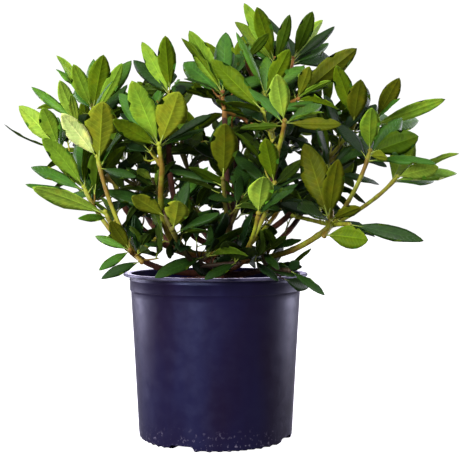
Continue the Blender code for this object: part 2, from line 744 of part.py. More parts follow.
def lead_strip(leaf):
    """The strip that the outer part of a leading leaf fills in the front elevation, with its depths."""
    root, way, _, size = leaf
    foot = root + way * (LEAD_BARE * size)
    tip = root + way * size
    return shown_at(foot), shown_at(tip), foot.y, tip.y, LEAD_COVER * LEAF_WIDTH * size


def stem_strips(line):
    """The strips that a stem fills in the front elevation, with their depths."""
    return [(shown_at(low), shown_at(high), low.y, high.y, STEM_COVER) for low, high in zip(line, line[1:])]


def hides_a_strip(points, strips):
    """Whether any of a leaf's points stands before a strip of the front elevation."""
    middle = shown_at(points[-1])
    for foot, tip, foot_depth, tip_depth, half in strips:
        if (middle - (foot + tip) / 2.0).length > LEAD_NEAR:
            continue
        run = tip - foot
        for point in points:
            spot = shown_at(point)
            part = min(max((spot - foot).dot(run) / max(run.length_squared, 1e-9), 0.0), 1.0)
            depth = foot_depth + (tip_depth - foot_depth) * part
            if (foot + run * part - spot).length < half and point.y < depth:
                return True
    return False


def tree_of(points, faces):
    """A search tree of a body's surface."""
    return BVHTree.FromPolygons([tuple(point) for point in points], faces, epsilon=0.0)


def plan_group(name, group, path, number):
    """Every twig of a group and the leaves it would grow."""
    way = (path[-1] - path[-2]).normalized()
    stub_start = path[-1] + way * SEAT_GAP
    node = path[-1] + way * STUB_LENGTH
    plan = {"name": name, "stub": (stub_start, node, way), "twigs": [], "leads": [], "spreads": []}
    shown = group.get("shown", ())
    plan["strips"] = stem_strips(path[BOUGH_STEPS // 2:]) if "bough" in shown else []
    for order, (letter, (place, length, count, leads)) in enumerate(group["shoots"].items()):
        chance = random.Random(100 * number + order)
        place = crown_point(place)
        axis = shoot_axis(place)
        twig = twig_path(node, way, place)
        plan["twigs"].append(twig)
        plan["strips"] += stem_strips(twig) if letter in shown else []
        plan["leads"].append(leading_leaves(place, twig[-2], axis, length, leads))
        plan["spreads"].append(spread_leaves(place, twig[-2], axis, length, count, chance))
    return plan


def stub_body(stub):
    """The short thick root a group stands on, just clear of its bough."""
    start, node, way = stub
    path = [start, node - way * 0.003, node + way * 0.003, node + way * 0.006]
    radii = [BOUGH_RADIUS_END, BOUGH_RADIUS_END * 1.2, BOUGH_RADIUS_END * 1.2, BOUGH_RADIUS_END * 0.6]
    return body_from_rings(tube_rings(path, radii, 5))


def twig_body(path):
    """One three-sided twig with the bud at its end."""
    steps = len(path) - 1
    taper = TWIG_RADIUS_END - TWIG_RADIUS_START
    radii = [TWIG_RADIUS_START + taper * step / steps for step in range(steps + 1)]
    bud = path[-1] + (path[-1] - path[-2]).normalized() * BUD_LENGTH
    return body_from_rings(tube_rings(path, radii, 3), bud)


def choose_leaves(plans, limbs):
    """Grow each leaf at its first swing that is clear of limbs, of other groups and of its neighbours."""
    taken = [(None, tree_of(*body)) for body in limbs]
    for plan in plans:
        plan["kept"] = []
        taken.append((plan["name"], tree_of(*stub_body(plan["stub"]))))
        for path in plan["twigs"]:
            taken.append((plan["name"], tree_of(*twig_body(path))))
    blades = []
    strips = [strip for plan in plans for strip in plan["strips"]]
    for stage in ("leads", "spreads"):
        for plan in plans:
            for swings in [leaf for leaves in plan[stage] for leaf in leaves]:
                for leaf in swings:
                    marks = leaf_marks(leaf)
                    if stage == "spreads" and (in_light_gap(marks) or hides_a_strip(marks, strips)):
                        continue
                    tree = tree_of(*leaf_body(*leaf, grow=LEAF_MARGIN))
                    if any(owner != plan["name"] and tree.overlap(other) for owner, other in taken):
                        continue
                    root, way, upper, length = leaf
                    blade = tree_of(*leaf_body(root + way * (0.25 * length), way, upper, 0.75 * length))
                    if stage == "spreads" and any(blade.overlap(other) for other in blades):
                        continue
                    plan["kept"].append(leaf)
                    taken.append((plan["name"], tree))
                    blades.append(blade)
                    if stage == "leads":
                        strips.append(lead_strip(leaf))
                    break


def largest_shell(mesh):
    """Keep only the largest piece of a joined mesh and split its faces into triangles."""
    body = bmesh.new()
    body.from_mesh(mesh)
    left = set(body.verts)
    shells = []
    while left:
        shell = {left.pop()}
        front = list(shell)
        while front:
            vertex = front.pop()
            for edge in vertex.link_edges:
                other = edge.other_vert(vertex)
                if other in left:
                    left.remove(other)
                    shell.add(other)
                    front.append(other)
        shells.append(shell)
    shells.sort(key=len, reverse=True)
    for shell in shells[1:]:
        bmesh.ops.delete(body, geom=list(shell), context="VERTS")
    bmesh.ops.triangulate(body, faces=body.faces)
    bmesh.ops.recalc_face_normals(body, faces=body.faces)
    body.to_mesh(mesh)
    body.free()


def make_foliage(plan):
    """One group of shoots joined to a single body: root, twigs and leaves."""
    material = plain_material("foliage_" + plan["name"], FOLIAGE_COLOUR, 0.5)
    mass = link_object("leaves_" + plan["name"], mesh_from("stub", *stub_body(plan["stub"])), material)
    joined = bpy.data.collections.new("parts_" + plan["name"])
    bpy.context.scene.collection.children.link(joined)
    for path in plan["twigs"]:
        joined.objects.link(bpy.data.objects.new("twig", mesh_from("twig", *twig_body(path))))
    for leaf in plan["kept"]:
        joined.objects.link(bpy.data.objects.new("leaf", mesh_from("leaf", *leaf_body(*leaf))))
    apply_boolean(mass, joined, "UNION", "MANIFOLD")
    largest_shell(mass.data)
    mass.data.materials.clear()
    mass.data.materials.append(material)
    return mass


def plan_crown(paths):
    """The whole crown's plan: every group's twigs and leaves, and the boughs' bodies a little grown."""
    plans = [plan_group(name, GROUPS[name], paths[name], number) for number, name in enumerate(GROUPS)]
    radii = [radius + SEAT_GAP for radius in bough_radii()]
    limbs = [body_from_rings(tube_rings(path, radii, BOUGH_SIDES)) for path in paths.values()]
    return plans, limbs


def mesh_body(thing):
    """Points and faces of an object's mesh."""
    points = [vertex.co.copy() for vertex in thing.data.vertices]
    return points, [tuple(face.vertices) for face in thing.data.polygons]


def main():
    clear_scene()
    pot = make_pot()
    mix = make_potting_mix()
    trunk = make_trunk()
    paths = bough_paths()
    for name, path in paths.items():
        make_bough(name, path)
    plans, limbs = plan_crown(paths)
    limbs += [mesh_body(thing) for thing in (pot, mix, trunk)]
    choose_leaves(plans, limbs)
    for plan in plans:
        make_foliage(plan)


if __name__ == "__main__":
    main()
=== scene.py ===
"""A young rhododendron in its nursery pot: pot, bark mix, trunk, limbs, twigs, buds and leaves."""
import functools
import json
import math
import random

import bmesh
import bpy
from bpy.props import FloatProperty, FloatVectorProperty, IntProperty, PointerProperty
from mathutils import Matrix, Vector, noise
from mathutils.bvhtree import BVHTree
from mathutils.kdtree import KDTree

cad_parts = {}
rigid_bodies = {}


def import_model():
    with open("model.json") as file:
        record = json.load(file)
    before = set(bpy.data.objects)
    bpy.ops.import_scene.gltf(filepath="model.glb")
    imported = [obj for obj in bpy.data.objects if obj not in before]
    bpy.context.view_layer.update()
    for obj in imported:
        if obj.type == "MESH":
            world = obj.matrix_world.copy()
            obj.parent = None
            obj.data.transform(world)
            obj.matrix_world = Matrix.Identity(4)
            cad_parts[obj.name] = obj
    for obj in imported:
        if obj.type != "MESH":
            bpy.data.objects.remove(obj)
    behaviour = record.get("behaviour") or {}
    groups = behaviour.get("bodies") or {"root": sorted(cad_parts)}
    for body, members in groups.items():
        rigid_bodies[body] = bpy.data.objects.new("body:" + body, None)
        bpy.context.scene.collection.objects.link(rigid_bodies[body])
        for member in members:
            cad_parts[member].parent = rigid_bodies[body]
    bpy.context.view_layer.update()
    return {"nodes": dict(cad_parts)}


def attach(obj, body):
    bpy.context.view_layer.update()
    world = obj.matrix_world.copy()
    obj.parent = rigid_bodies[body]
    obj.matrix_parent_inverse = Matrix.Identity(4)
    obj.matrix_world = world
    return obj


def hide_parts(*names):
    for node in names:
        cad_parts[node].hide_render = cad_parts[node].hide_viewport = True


bl_info = {
    "name": "Potted rhododendron",
    "version": (1, 0, 0),
    "blender": (4, 5, 0),
    "location": "View3D > Sidebar > Shrub",
    "description": "Builds a leafy shrub in its nursery pot over its solid frame",
    "category": "Object",
}

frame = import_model()

MM = 0.001

# first seeds of the random draws
SIDE_SEED = 300
CHIP_SEED = 400
BOUGH_SEED = 700
TWIG_SEED = 800
BLADE_SEED = 900
LEAF_SEED = 1000

# pot
POT_TURN_SIDES = 176
POT_HEIGHT = 0.247
POT_BASE_RADIUS = 0.1159
POT_BODY_RADIUS = 0.1280
POT_STEP_HEIGHT = 0.2195
COLLAR_RADIUS = 0.1298
RIM_RADIUS = 0.1396
RIM_DEPTH = 0.0042
POT_WALL = 0.0020
POT_FLOOR = 0.0024
DRAIN_SLOT = 0.036
NOTCH_WIDTH = 0.038
NOTCH_HEIGHT = 0.008
NOTCH_CORNER = 0.005
NOTCH_FIRST_AZIMUTH = math.radians(-115.0)
NOTCH_COUNT = 4
FOOT_RIPPLES = 24.0
FOOT_RIPPLE_REACH = 0.006
POT_SHARP_ANGLE = math.radians(42.0)

# potting mix
SOIL_EDGE_HEIGHT = 0.221
SOIL_CROWN_HEIGHT = 0.236
SOIL_FLAT_RADIUS = 0.034
MIX_RINGS = 26
MIX_SIDES = 120
MIX_BOTTOM = 0.01
MIX_CLEARANCE = 0.0004
MIX_LUMPS = ((0.0035, 90.0), (0.002, 260.0))
MIX_SINK = 0.001
CHIP_SHAPES = 7
STREWN_RADIUS = 0.118
CHIP_TILT = 0.5
CHIP_SIZES = (0.45, 1.35)

# trunk, boughs and twigs
SEAT_GAP = 0.0003
SEAT_SEARCH = 0.008
SEAT_STEP = 0.0001
TRUNK_SIDES = 12
TRUNK_PATH = ((0.000, 0.000, 0.0), (0.004, -0.003, 0.020), (0.011, -0.006, 0.044), (0.016, -0.008, 0.070))
TRUNK_RADII = (0.0240, 0.0155, 0.0135, 0.0105)
TRUNK_SLIM = 0.97
TRUNK_FINE_SIDES = 64
TRUNK_FINE_LEVELS = 34
BARK_RIDGES = (3.2, 24.0)
BARK_CRUMBS = 420.0
ROOT_FLARE_LOBES = 5
ROOT_FLARE_FADE = 0.009
ROOT_FLARE_DEPTH = 0.14
BOUGH_SIDES = 6
BOUGH_STEPS = 6
BOUGH_RADII = (0.0050, 0.0040)
STUB_LENGTH = 0.009
TWIG_STEPS = 4
TWIG_RADII = (0.0040, 0.0036)
BUD_LENGTH = 0.006

# a grown stem: its radius against its plain one, its collar's height and fade, the swelling under its
# rosette, and its knuckles' height, number and sharpness; then its skin's sides, relief and grain
BOUGH_FORM = (0.97, 0.0024, 22.0, 0.0, 0.0005, 4.0, 6)
TWIG_FORM = (0.78, 0.0008, 14.0, 0.0005, 0.0004, 3.0, 8)
BOUGH_SKIN = (14, 0.0011, 260.0)
TWIG_SKIN = (10, 0.0007, 300.0)
WHORL_PLACE = 0.9
WHORL_SPREAD = 0.07

# how much the crown rises from its front to its back, for each metre of depth
CROWN_LEAN = 0.02

# leaves
GOLDEN_ANGLE = math.radians(137.5)
LEAF_WIDTH = 0.36
LEAF_THICKNESS = 0.020
LEAF_ARCH = 0.05
LEAF_OUTLINE = ((0.0, 0.0), (0.30, 0.27), (0.68, 0.50), (1.0, 0.0))
EDGE_ON = 99
LEAF_MARGIN = 0.0007
ROOT_SPREAD = 0.6
LEAD_LEAN = 1.25
LEAD_SHORTEST = 0.65
LEAF_MARKS = (
    (0.25, 0.0), (0.42, 0.0), (0.74, 0.0), (0.88, 0.0), (1.0, 0.0), (0.38, 0.3), (0.38, -0.3), (0.55, 0.48),
    (0.55, -0.48), (0.68, 0.5), (0.68, -0.5), (0.82, 0.34), (0.82, -0.34), (0.55, 0.24), (0.55, -0.24),
    (0.68, 0.24), (0.68, -0.24), (0.58, 0.0),
)
LEAD_BARE = 0.25
LEAD_COVER = 0.46
LEAD_NEAR = 0.085
STEM_COVER = 0.007
SPREAD_INNER = math.radians(24.0)
SPREAD_OUTER = math.radians(84.0)
LEAD_SWINGS = (
    (0, 0), (6, 0), (-6, 0), (0, 6), (0, -6), (10, 5), (-10, 5), (10, -8), (-10, -8), (16, 0), (-16, 0),
)
SPREAD_SWINGS = (
    (0, 0), (22, 0), (-22, 0), (40, 8), (-40, 8), (60, -8), (-60, -8), (0, 18), (0, -18), (85, 0),
    (-85, 0), (120, 8), (180, -8),
)

# the eye the front elevation is drawn from, for the light gaps kept through the crown
EYE_DISTANCE = 1.42
EYE_HEIGHT = 0.337

# finer side shoots within the crown: shares of the twig or bough where they start, and their sizes
SIDE_STARTS = (0.30, 0.52, 0.74)
BOUGH_SIDE_STARTS = (0.6, 0.85)
SIDE_LENGTH = (0.012, 0.026)
SIDE_LEAF_SIZE = (58.0, 84.0)
SIDE_LEAVES = 3
SIDE_RADII = (0.0015, 0.0011)
SIDE_SHADE_SHARE = 0.6

# how leaves that cross are settled: roll, swing and lift in degrees, tried in turn
SETTLE_TURNS = (
    (14, 0, 0), (-14, 0, 0), (0, 7, 0), (0, -7, 0), (0, 0, 7), (0, 0, -7), (28, 0, 0), (-28, 0, 0),
    (16, 8, 4), (-16, -8, 4), (16, -8, -4), (-16, 8, -4),
)
SETTLE_ROUNDS = 2
SETTLE_MIDDLE = 0.6
SETTLE_NEAR = 0.085
STALK_END = 0.25
EDGE_SHARE = 0.26
EDGE_ROLL = 24.0

# a grown leaf's finer form, as shares of its length
BLADE_SHAPES = 10
FLAT_SHAPES = 5
BLADE_ROWS = (0.0, 0.07, 0.18, 0.32, 0.47, 0.61, 0.74, 0.86, 0.95, 1.0)
UPPER_COLUMNS = (-1.0, -0.58, 0.0, 0.58, 1.0)
UNDER_COLUMNS = (-1.0, -0.58, -0.5, 0.0, 0.5, 0.58, 1.0)
FLAT_FOLD = (1.0, 9.0)
CUPPED_FOLD = (12.0, 34.0)
WAVE_HEIGHT = (0.009, 0.020)
BLADE_TWIST = 14.0
BLADE_BEND = 0.05
BLADE_DROOP = (-0.02, 0.05)
BLADE_BREADTH = (0.92, 1.08)
WAVE_COUNT = (1.4, 3.0)
BAY_DEPTH = (0.008, 0.026)
BAY_COUNT = (1.8, 3.2)
EDGE_CURL = (0.05, 0.28)
BUD_FORM = ((0.2, 0.95), (0.45, 1.02), (0.7, 0.72), (0.9, 0.34), (1.0, 0.06))
# Heights (m) between which the bark goes from its browner, darker foot to its own age: partly older bark,
# partly painted shade under the crown.
OLD_BARK_HEIGHTS = (0.258, 0.296)
BLADE_WIDEST = 1.13
BLADE_FOOT_ROUNDNESS = 0.95
BLADE_TIP_ROUNDNESS = 0.70
PETIOLE_SHARE = 0.07
PETIOLE_RADIUS = 0.013
BLADE_THICKNESS = 0.010
RIB_HALF_WIDTH = 0.010
RIB_RISE = 0.008
RIB_GROOVE = 0.006
SIDE_VEINS = 12.0
UPPER_FACE = 0
UNDER_FACE = 1
STALK_FACE = 2

# leaf tints: their name and leaves in words, then the screen colours of the upper face and of the underside
# the shade tint is painted shade for leaves within the crown; the deep tint is partly the darker old leaves
# and partly painted shade there
LEAF_TONES = {
    "pale": ("Pale", "the palest leaves", (112, 154, 40), (208, 231, 136)),
    "fresh": ("Fresh", "fresh leaves", (74, 120, 26), (134, 166, 54)),
    "leaf": ("Green", "bright green leaves", (68, 110, 28), (108, 142, 36)),
    "mid": ("Middle", "full-grown leaves", (54, 95, 26), (84, 108, 10)),
    "olive": ("Olive", "yellowish leaves", (56, 80, 12), (112, 124, 26)),
    "moss": ("Mossy", "dull brownish leaves", (44, 66, 10), (76, 84, 8)),
    "deep": ("Deep", "the oldest leaves", (31, 58, 16), (56, 79, 8)),
    "shade": ("Shaded", "leaves within the crown", (17, 39, 12), (42, 60, 12)),
}
TINTS = tuple(LEAF_TONES)

# stage
WHITE = (1.0, 1.0, 1.0, 1.0)
COOL_TONE = (0.87, 0.83, 1.0)
FLOOR_RADIUS = 14.0
BACKDROP_STRENGTH = 1.05
CAMERA_TURN = (math.radians(89.13), 0.0, math.radians(-0.975))
SENSOR_WIDTH = 36.0
LIGHT_AIM = (0.0, 0.0, 0.35)
LIGHTS = (
    ("key", (-1.0, -1.7, 0.85), 0.9, 0.9, "key_power", WHITE[:3]),
    ("top", (0.2, -0.5, 2.0), 1.0, 1.0, "top_power", WHITE[:3]),
    ("side_left", (-1.5, 0.75, 0.7), 0.9, 1.6, "side_power", COOL_TONE),
    ("side_right", (1.5, 0.75, 0.7), 0.9, 1.6, "side_power", COOL_TONE),
)

# light gaps of the crown in the front elevation: across, height, half width, half height (mm)
LIGHT_GAPS = (
    (-24, 494, 23, 21), (238, 384, 26, 25), (130, 315, 23, 15), (92, 324, 17, 10), (-110, 257, 14, 7),
    (-44, 417, 11, 10), (-25, 296, 18, 5), (35, 434, 7, 11), (-7, 460, 7, 10), (-223, 439, 9, 7),
    (180, 513, 12, 7), (-93, 387, 7, 10), (-157, 378, 7, 9), (-20, 343, 10, 6), (-137, 329, 6, 7),
    (-223, 529, 7, 9), (-137, 531, 6, 7), (34, 325, 8, 7), (-258, 527, 14, 15), (-305, 465, 14, 12),
    (-285, 430, 20, 11), (-270, 415, 12, 6), (-90, 590, 6, 11), (-48, 573, 6, 15), (100, 630, 8, 20),
    (126, 630, 5, 15), (243, 545, 14, 34), (205, 552, 12, 14), (165, 263, 21, 12), (263, 345, 36, 12),
    (274, 328, 36, 5), (-128, 565, 8, 14), (-4, 600, 8, 9), (34, 614, 8, 18), (190, 540, 9, 9),
    (-234, 553, 8, 11), (-234, 328, 27, 8), (320, 440, 14, 12), (-237, 283, 56, 42), (-160, 205, 25, 22),
    (0, 185, 160, 44), (255, 232, 78, 42), (330, 345, 60, 20), (-318, 365, 40, 28), (-190, 312, 24, 10),
    (-58, 441, 6, 9), (-18, 405, 7, 5), (-63, 380, 5, 8), (-66, 362, 4, 6), (-100, 317, 9, 6),
    (-58, 318, 8, 7), (0, 276, 13, 4), (-83, 276, 6, 9), (118, 420, 10, 7), (127, 403, 5, 8),
    (173, 395, 4, 10), (44, 263, 6, 7), (-141, 418, 6, 8), (-138, 384, 6, 6),
    (18, 630, 10, 10), (-194, 338, 18, 8), (222, 334, 16, 8), (-283, 449, 14, 6), (150, 250, 9, 5),
    (-138, 236, 10, 14), (160, 216, 20, 9), (14, 622, 8, 12), (-192, 236, 24, 24), (224, 281, 27, 13),
    (153, 289, 18, 7), (113, 322, 12, 9), (-9, 274, 10, 4),
)


def limb(start, elbow, fork, ages=("old", "young"), shown=(), **shoots):
    """A bough with its group of shoots, each shoot by a letter."""
    return {"start": start, "elbow": elbow, "fork": fork, "ages": ages, "shown": shown, "shoots": shoots}


# Each limb: its start height on the trunk, its elbow and its fork (mm), the ages of its bark and of its
# twigs' bark, and the stems that no spread leaf hides from the front ("bough" is the bough's outer half). A
# shoot: where its rosette sits (mm), leaf length (mm), number of leaves spread by the growth rule and their
# tint, and the leading leaves. A leading leaf: its tip's reach across and up from the rosette (mm), the side
# it leans to (1 is forward, -1 is back), how far it turns its underside (plus) or its upper face (minus)
# forward, in tenths, its tint, its breadth, and its own length (mm) where that isn't the shoot's.
# the tints were set to how bright each leaf shows from the front, so darker tints partly hold painted shade
# and paler ones painted light; the shade bark age is painted shade too
GROUPS = {
    "left_low": limb(11, (-75, -90, 251), (-105, -132, 278), shown=("bough", "c"),
        a=((-185, -100, 375), 100, 4, "mid", (-49, 69, 1, 6, "leaf", 0.85),
           (-84, 32, -1, -3, "mid", 0.6)),
        b=((-150, -140, 340), 112, 2, "deep", (-110, 40, -1, -5, "mid", 0.6),
           (-89, 35, 1, 5, "fresh", 0.8), (-31, -6, 1, -8, "fresh", 0.55, 60)),
        c=((-160, -150, 415), 95, 4, "mid", (-40, 56, 1, 7, "pale", 1.0), (14, 71, 1, 9, "olive", 1.3),
           (57, -27, 1, -4, "deep", 0.7)),
        d=((-115, -160, 290), 85, 1, "deep", (-23, 41, 1, 8, "moss", 1.1),
           (-53, 18, -1, -7, "leaf", 0.6), (-38, -24, 1, -6, "mid", 0.7)),
        e=((-85, -110, 302), 75, 5, "deep"),
        f=((-100, -165, 276), 62, 0, "deep", (-50, -21, 1, -7, "deep", 0.8, 62))),
    "left_high": limb(30, (-120, -40, 290), (-145, -50, 375),
        a=((-230, -60, 435), 95, 5, "mid", (-62, 62, -1, 9, "fresh", 0.9), (-13, 53, 1, 8, "leaf", 1.1),
           (-65, 27, 1, EDGE_ON, "shade", 1.0), (-6, 46, -1, 4, "mid", 0.8)),
        b=((-210, -10, 475), 90, 3, "mid", (-70, 54, -1, -9, "fresh", 0.5),
           (-17, 57, 1, 8, "fresh", 0.85), (0, 36, 1, 3, "fresh", 0.7)),
        c=((-190, 20, 500), 95, 2, "mid", (-54, 79, -1, 4, "leaf", 0.85), (-60, 64, -1, 3, "fresh", 0.7),
           (-21, 59, 1, 7, "leaf", 1.0), (25, 72, 1, 9, "mid", 1.0), (-4, 81, -1, -4, "leaf", 0.6),
           (60, 73, -1, -8, "leaf", 0.7), (52, 61, 1, 8, "leaf", 0.6)),
        d=((-185, -50, 465), 85, 4, "mid", (39, 62, 1, -4, "mid", 0.7), (55, 63, -1, -5, "deep", 0.7))),
    "front_left": limb(40, (-90, -70, 268), (-72, -165, 395), ages=("young", "young"), shown=("bough",),
        a=((-75, -180, 430), 95, 3, "deep", (-33, 82, 1, 8, "leaf", 1.1), (29, 66, 1, 9, "olive", 1.3),
           (-56, 31, 1, 7, "mid", 0.9), (70, 46, -1, -3, "deep", 0.5), (60, 26, -1, -2, "mid", 0.5),
           (-55, 73, -1, -3, "mid", 0.8)),
        b=((-100, -85, 445), 88, 6, "mid")),
    "upper_left": limb(54, (-75, -15, 295), (-67, -75, 460),
        a=((-65, -80, 510), 95, 4, "mid", (-4, 73, 1, 8, "mid", 0.85), (-43, 79, -1, 8, "leaf", 0.7),
           (-57, 55, -1, -9, "deep", 0.7), (17, 12, 1, -4, "mid", 0.7), (-27, 4, 1, -3, "mid", 0.8)),
        b=((-15, -40, 430), 85, 6, "mid")),
    "low_front_left": limb(19, (-20, -85, 255), (-26, -125, 265), ages=("shade", "shade"),
        a=((-70, -140, 340), 95, 5, "mid", (-86, 32, -1, -5, "deep", 0.8), (-41, 24, 1, 6, "olive", 1.2)),
        b=((-55, -220, 320), 70, 2, "deep", (10, 38, 1, 9, "olive", 1.3, 70)),
        c=((-92, -40, 386), 70, 3, "mid", (-23, 16, 1, 8, "fresh", 1.3, 34),
           (14, 18, 1, 8, "leaf", 1.3, 28)),
        d=((-15, -140, 280), 95, 5, "deep", (-65, -25, 1, -4, "deep", 0.8)),
        e=((30, -140, 272), 90, 4, "shade", (-45, -20, 1, -4, "deep", 0.8))),
    "upper_front": limb(64, (18, -95, 335), (13, -80, 475), ages=("old", "turning"), shown=("bough",),
        a=((10, -80, 510), 95, 4, "mid", (-48, 90, 1, 8, "leaf", 1.0), (-59, 80, -1, 3, "mid", 0.8),
           (-55, 15, 1, -3, "deep", 0.8), (5, 92, -1, -8, "mid", 0.9), (10, 87, -1, 8, "deep", 0.6),
           (-57, 52, -1, -8, "mid", 1.0)),
        b=((50, -45, 470), 85, 5, "mid")),
    "front_middle": limb(36, (20, -110, 270), (18, -125, 310), ages=("old", "shade"),
        a=((10, -170, 385), 90, 4, "deep", (2, 72, 1, 9, "moss", 1.2)),
        b=((35, -140, 360), 95, 5, "deep", (-71, 42, 1, 5, "deep", 0.7), (-45, 0, 1, -5, "deep", 0.8)),
        c=((-30, -95, 345), 88, 6, "deep")),
    "front_right": limb(17, (38, -120, 259), (45, -158, 294), ages=("young", "young"), shown=("a",),
        a=((55, -220, 340), 80, 4, "deep", (4, 48, 1, 9, "fresh", 1.35, 72)),
        b=((80, -150, 380), 90, 4, "deep", (-15, 59, 1, 8, "mid", 1.1), (38, 37, -1, 8, "deep", 0.65),
           (-41, 48, -1, -5, "deep", 0.8)),
        c=((100, -80, 360), 88, 6, "shade")),
    "upper_right_front": limb(46, (70, -85, 300), (82, -165, 415), shown=("a",),
        a=((90, -200, 460), 95, 3, "deep", (-13, 57, 1, 9, "fresh", 1.15), (68, 4, 1, 9, "moss", 0.6),
           (48, 10, 1, 2, "leaf", 0.55), (54, 28, -1, -4, "leaf", 0.7), (-45, 50, -1, -4, "mid", 0.65),
           (-57, -5, -1, 8, "deep", 0.5)),
        b=((65, -140, 480), 90, 3, "mid", (-71, 70, 1, 8, "mid", 0.85)),
        c=((70, -80, 510), 95, 3, "deep", (-41, 88, -1, -4, "leaf", 0.6), (32, 57, 1, 7, "mid", 1.0),
           (63, 48, -1, -5, "leaf", 0.8), (6, 60, -1, -4, "leaf", 0.8))),
    "top": limb(62, (80, 12, 330), (85, -5, 480), ages=("old", "turning"),
        a=((90, 0, 570), 98, 3, "mid", (-47, 86, -1, 8, "leaf", 0.7), (-30, 69, 1, 7, "mid", 0.8),
           (-60, 65, -1, 6, "mid", 0.7), (19, 60, 1, 8, "deep", 0.65)),
        b=((120, 30, 575), 95, 4, "deep", (25, 65, 1, 7, "deep", 0.85), (51, 69, -1, 6, "fresh", 0.75),
           (69, 57, -1, -5, "deep", 0.6), (58, 21, -1, -9, "deep", 1.15), (62, 34, -1, -6, "mid", 0.6)),
        c=((120, -50, 505), 100, 3, "mid", (13, 42, 1, 9, "olive", 0.9), (88, 75, 1, 8, "moss", 0.85),
           (45, 23, 1, 2, "leaf", 0.55)),
        d=((45, -20, 565), 80, 4, "mid", (33, 36, 1, 7, "deep", 0.8), (-26, 10, 1, 3, "pale", 0.9))),
    "right_front": limb(33, (95, -85, 264), (155, -122, 318), ages=("young", "young"),
        shown=("bough", "c", "d"),
        a=((155, -140, 330), 110, 3, "deep", (-33, 106, 1, 8, "moss", 1.0), (5, 82, 1, 8, "moss", 0.85),
           (37, 19, 1, 6, "moss", 0.8, 65)),
        b=((180, -160, 325), 105, 1, "deep", (92, -20, 1, -8, "deep", 0.62)),
        c=((215, -120, 425), 95, 2, "deep", (-5, 58, 1, 9, "leaf", 1.25), (58, 19, 1, 9, "deep", 1.3),
           (14, -10, 1, 6, "olive", 0.8), (56, 52, -1, -6, "mid", 0.8), (-43, 45, -1, -6, "shade", 0.8),
           (84, -17, 1, -4, "mid", 0.8)),
        d=((260, -80, 390), 97, 2, "mid", (49, 14, 1, 9, "fresh", 1.1, 72),
           (91, 35, -1, 4, "fresh", 0.55), (94, 7, -1, -5, "pale", 0.7), (34, 68, -1, 8, "mid", 1.0)),
        e=((147, -165, 311), 64, 0, "deep", (53, -5, 1, 9, "mid", 1.55)),
        f=((165, -60, 405), 88, 5, "deep", (-42, 42, -1, -5, "deep", 0.8), (-25, 60, 1, -5, "deep", 0.8),
           (80, -24, -1, -6, "deep", 0.5)),
        g=((112, -90, 335), 80, 4, "shade")),
    "right_high": limb(50, (125, -5, 320), (150, 0, 395),
        a=((210, -20, 475), 95, 4, "deep", (-38, 81, 1, 9, "mid", 0.85), (1, 58, 1, 8, "moss", 1.2)),
        b=((250, 30, 480), 105, 3, "mid", (26, 61, 1, 7, "moss", 1.0), (27, 29, 1, -5, "mid", 0.8),
           (79, 5, -1, -9, "fresh", 0.9), (108, 34, -1, 9, "leaf", 0.55, 112))),
    "low_front_right": limb(8, (52, -52, 249), (68, -92, 259), ages=("shade", "shade"),
        b=((65, -115, 285), 60, 4, "deep", (21, -22, 1, -5, "deep", 0.8, 50)),
        c=((100, -145, 262), 80, 2, "deep", (45, -30, 1, -3, "deep", 0.6),
           (13, 14, 1, -8, "shade", 1.5, 30), (28, 32, 1, 4, "deep", 0.5))),
    "back_left": limb(28, (-110, 70, 290), (-125, 105, 370), ages=("old", "shade"),
        a=((-205, 105, 440), 92, 8, "mid"),
        b=((-155, 185, 420), 92, 8, "mid"),
        c=((-120, 95, 490), 92, 8, "mid"),
        d=((-185, 60, 360), 88, 7, "mid"),
        e=((-95, 30, 435), 85, 6, "mid")),
    "back_middle_left": limb(50, (-45, 80, 320), (-45, 115, 400), ages=("old", "shade"),
        a=((-75, 160, 490), 92, 8, "mid"),
        b=((-15, 225, 435), 92, 8, "mid"),
        c=((-90, 210, 360), 88, 7, "mid"),
        d=((-55, 85, 455), 85, 6, "mid")),
    "back_top": limb(58, (28, 45, 335), (35, 60, 460), ages=("old", "shade"),
        a=((30, 110, 555), 92, 8, "mid"),
        b=((85, 120, 530), 92, 8, "mid"),
        c=((30, 160, 480), 92, 8, "mid"),
        d=((5, 30, 515), 85, 6, "mid")),
    "back_middle_right": limb(36, (60, 85, 290), (80, 120, 375), ages=("old", "shade"),
        a=((85, 205, 460), 92, 8, "mid"),
        b=((140, 180, 500), 92, 8, "mid"),
        c=((60, 230, 370), 88, 7, "mid")),
    "back_right": limb(20, (110, 45, 280), (145, 75, 350), ages=("old", "shade"),
        a=((220, 110, 440), 95, 8, "mid"),
        b=((180, 90, 500), 95, 7, "mid"),
        c=((190, 60, 370), 88, 7, "mid")),
}


# ---------------------------------------------------------------- settings


def linear(red, green, blue):
    """A screen colour, 0 to 255 a channel, as the linear values that materials take."""
    return tuple(((part / 255 + 0.055) / 1.055) ** 2.4 if part > 10 else part / 255 / 12.92
                 for part in (red, green, blue))


def colour(name, description, red, green, blue):
    """A colour setting with its default as a screen colour."""
    return FloatVectorProperty(name=name, description=description, subtype="COLOR", size=3,
                               min=0.0, max=1.0, default=linear(red, green, blue))


def strength(name, description, value, unit="NONE"):
    """A setting with no upper end."""
    return FloatProperty(name=name, description=description, default=value, min=0.0, unit=unit)


def length(name, description, metres):
    """A size setting in metres."""
    return FloatProperty(name=name, description=description, default=metres, min=0.0, unit="LENGTH")


def share(name, description, value):
    """A setting from 0 to 1."""
    return FloatProperty(name=name, description=description, default=value, min=0.0, max=1.0,
                         subtype="FACTOR")


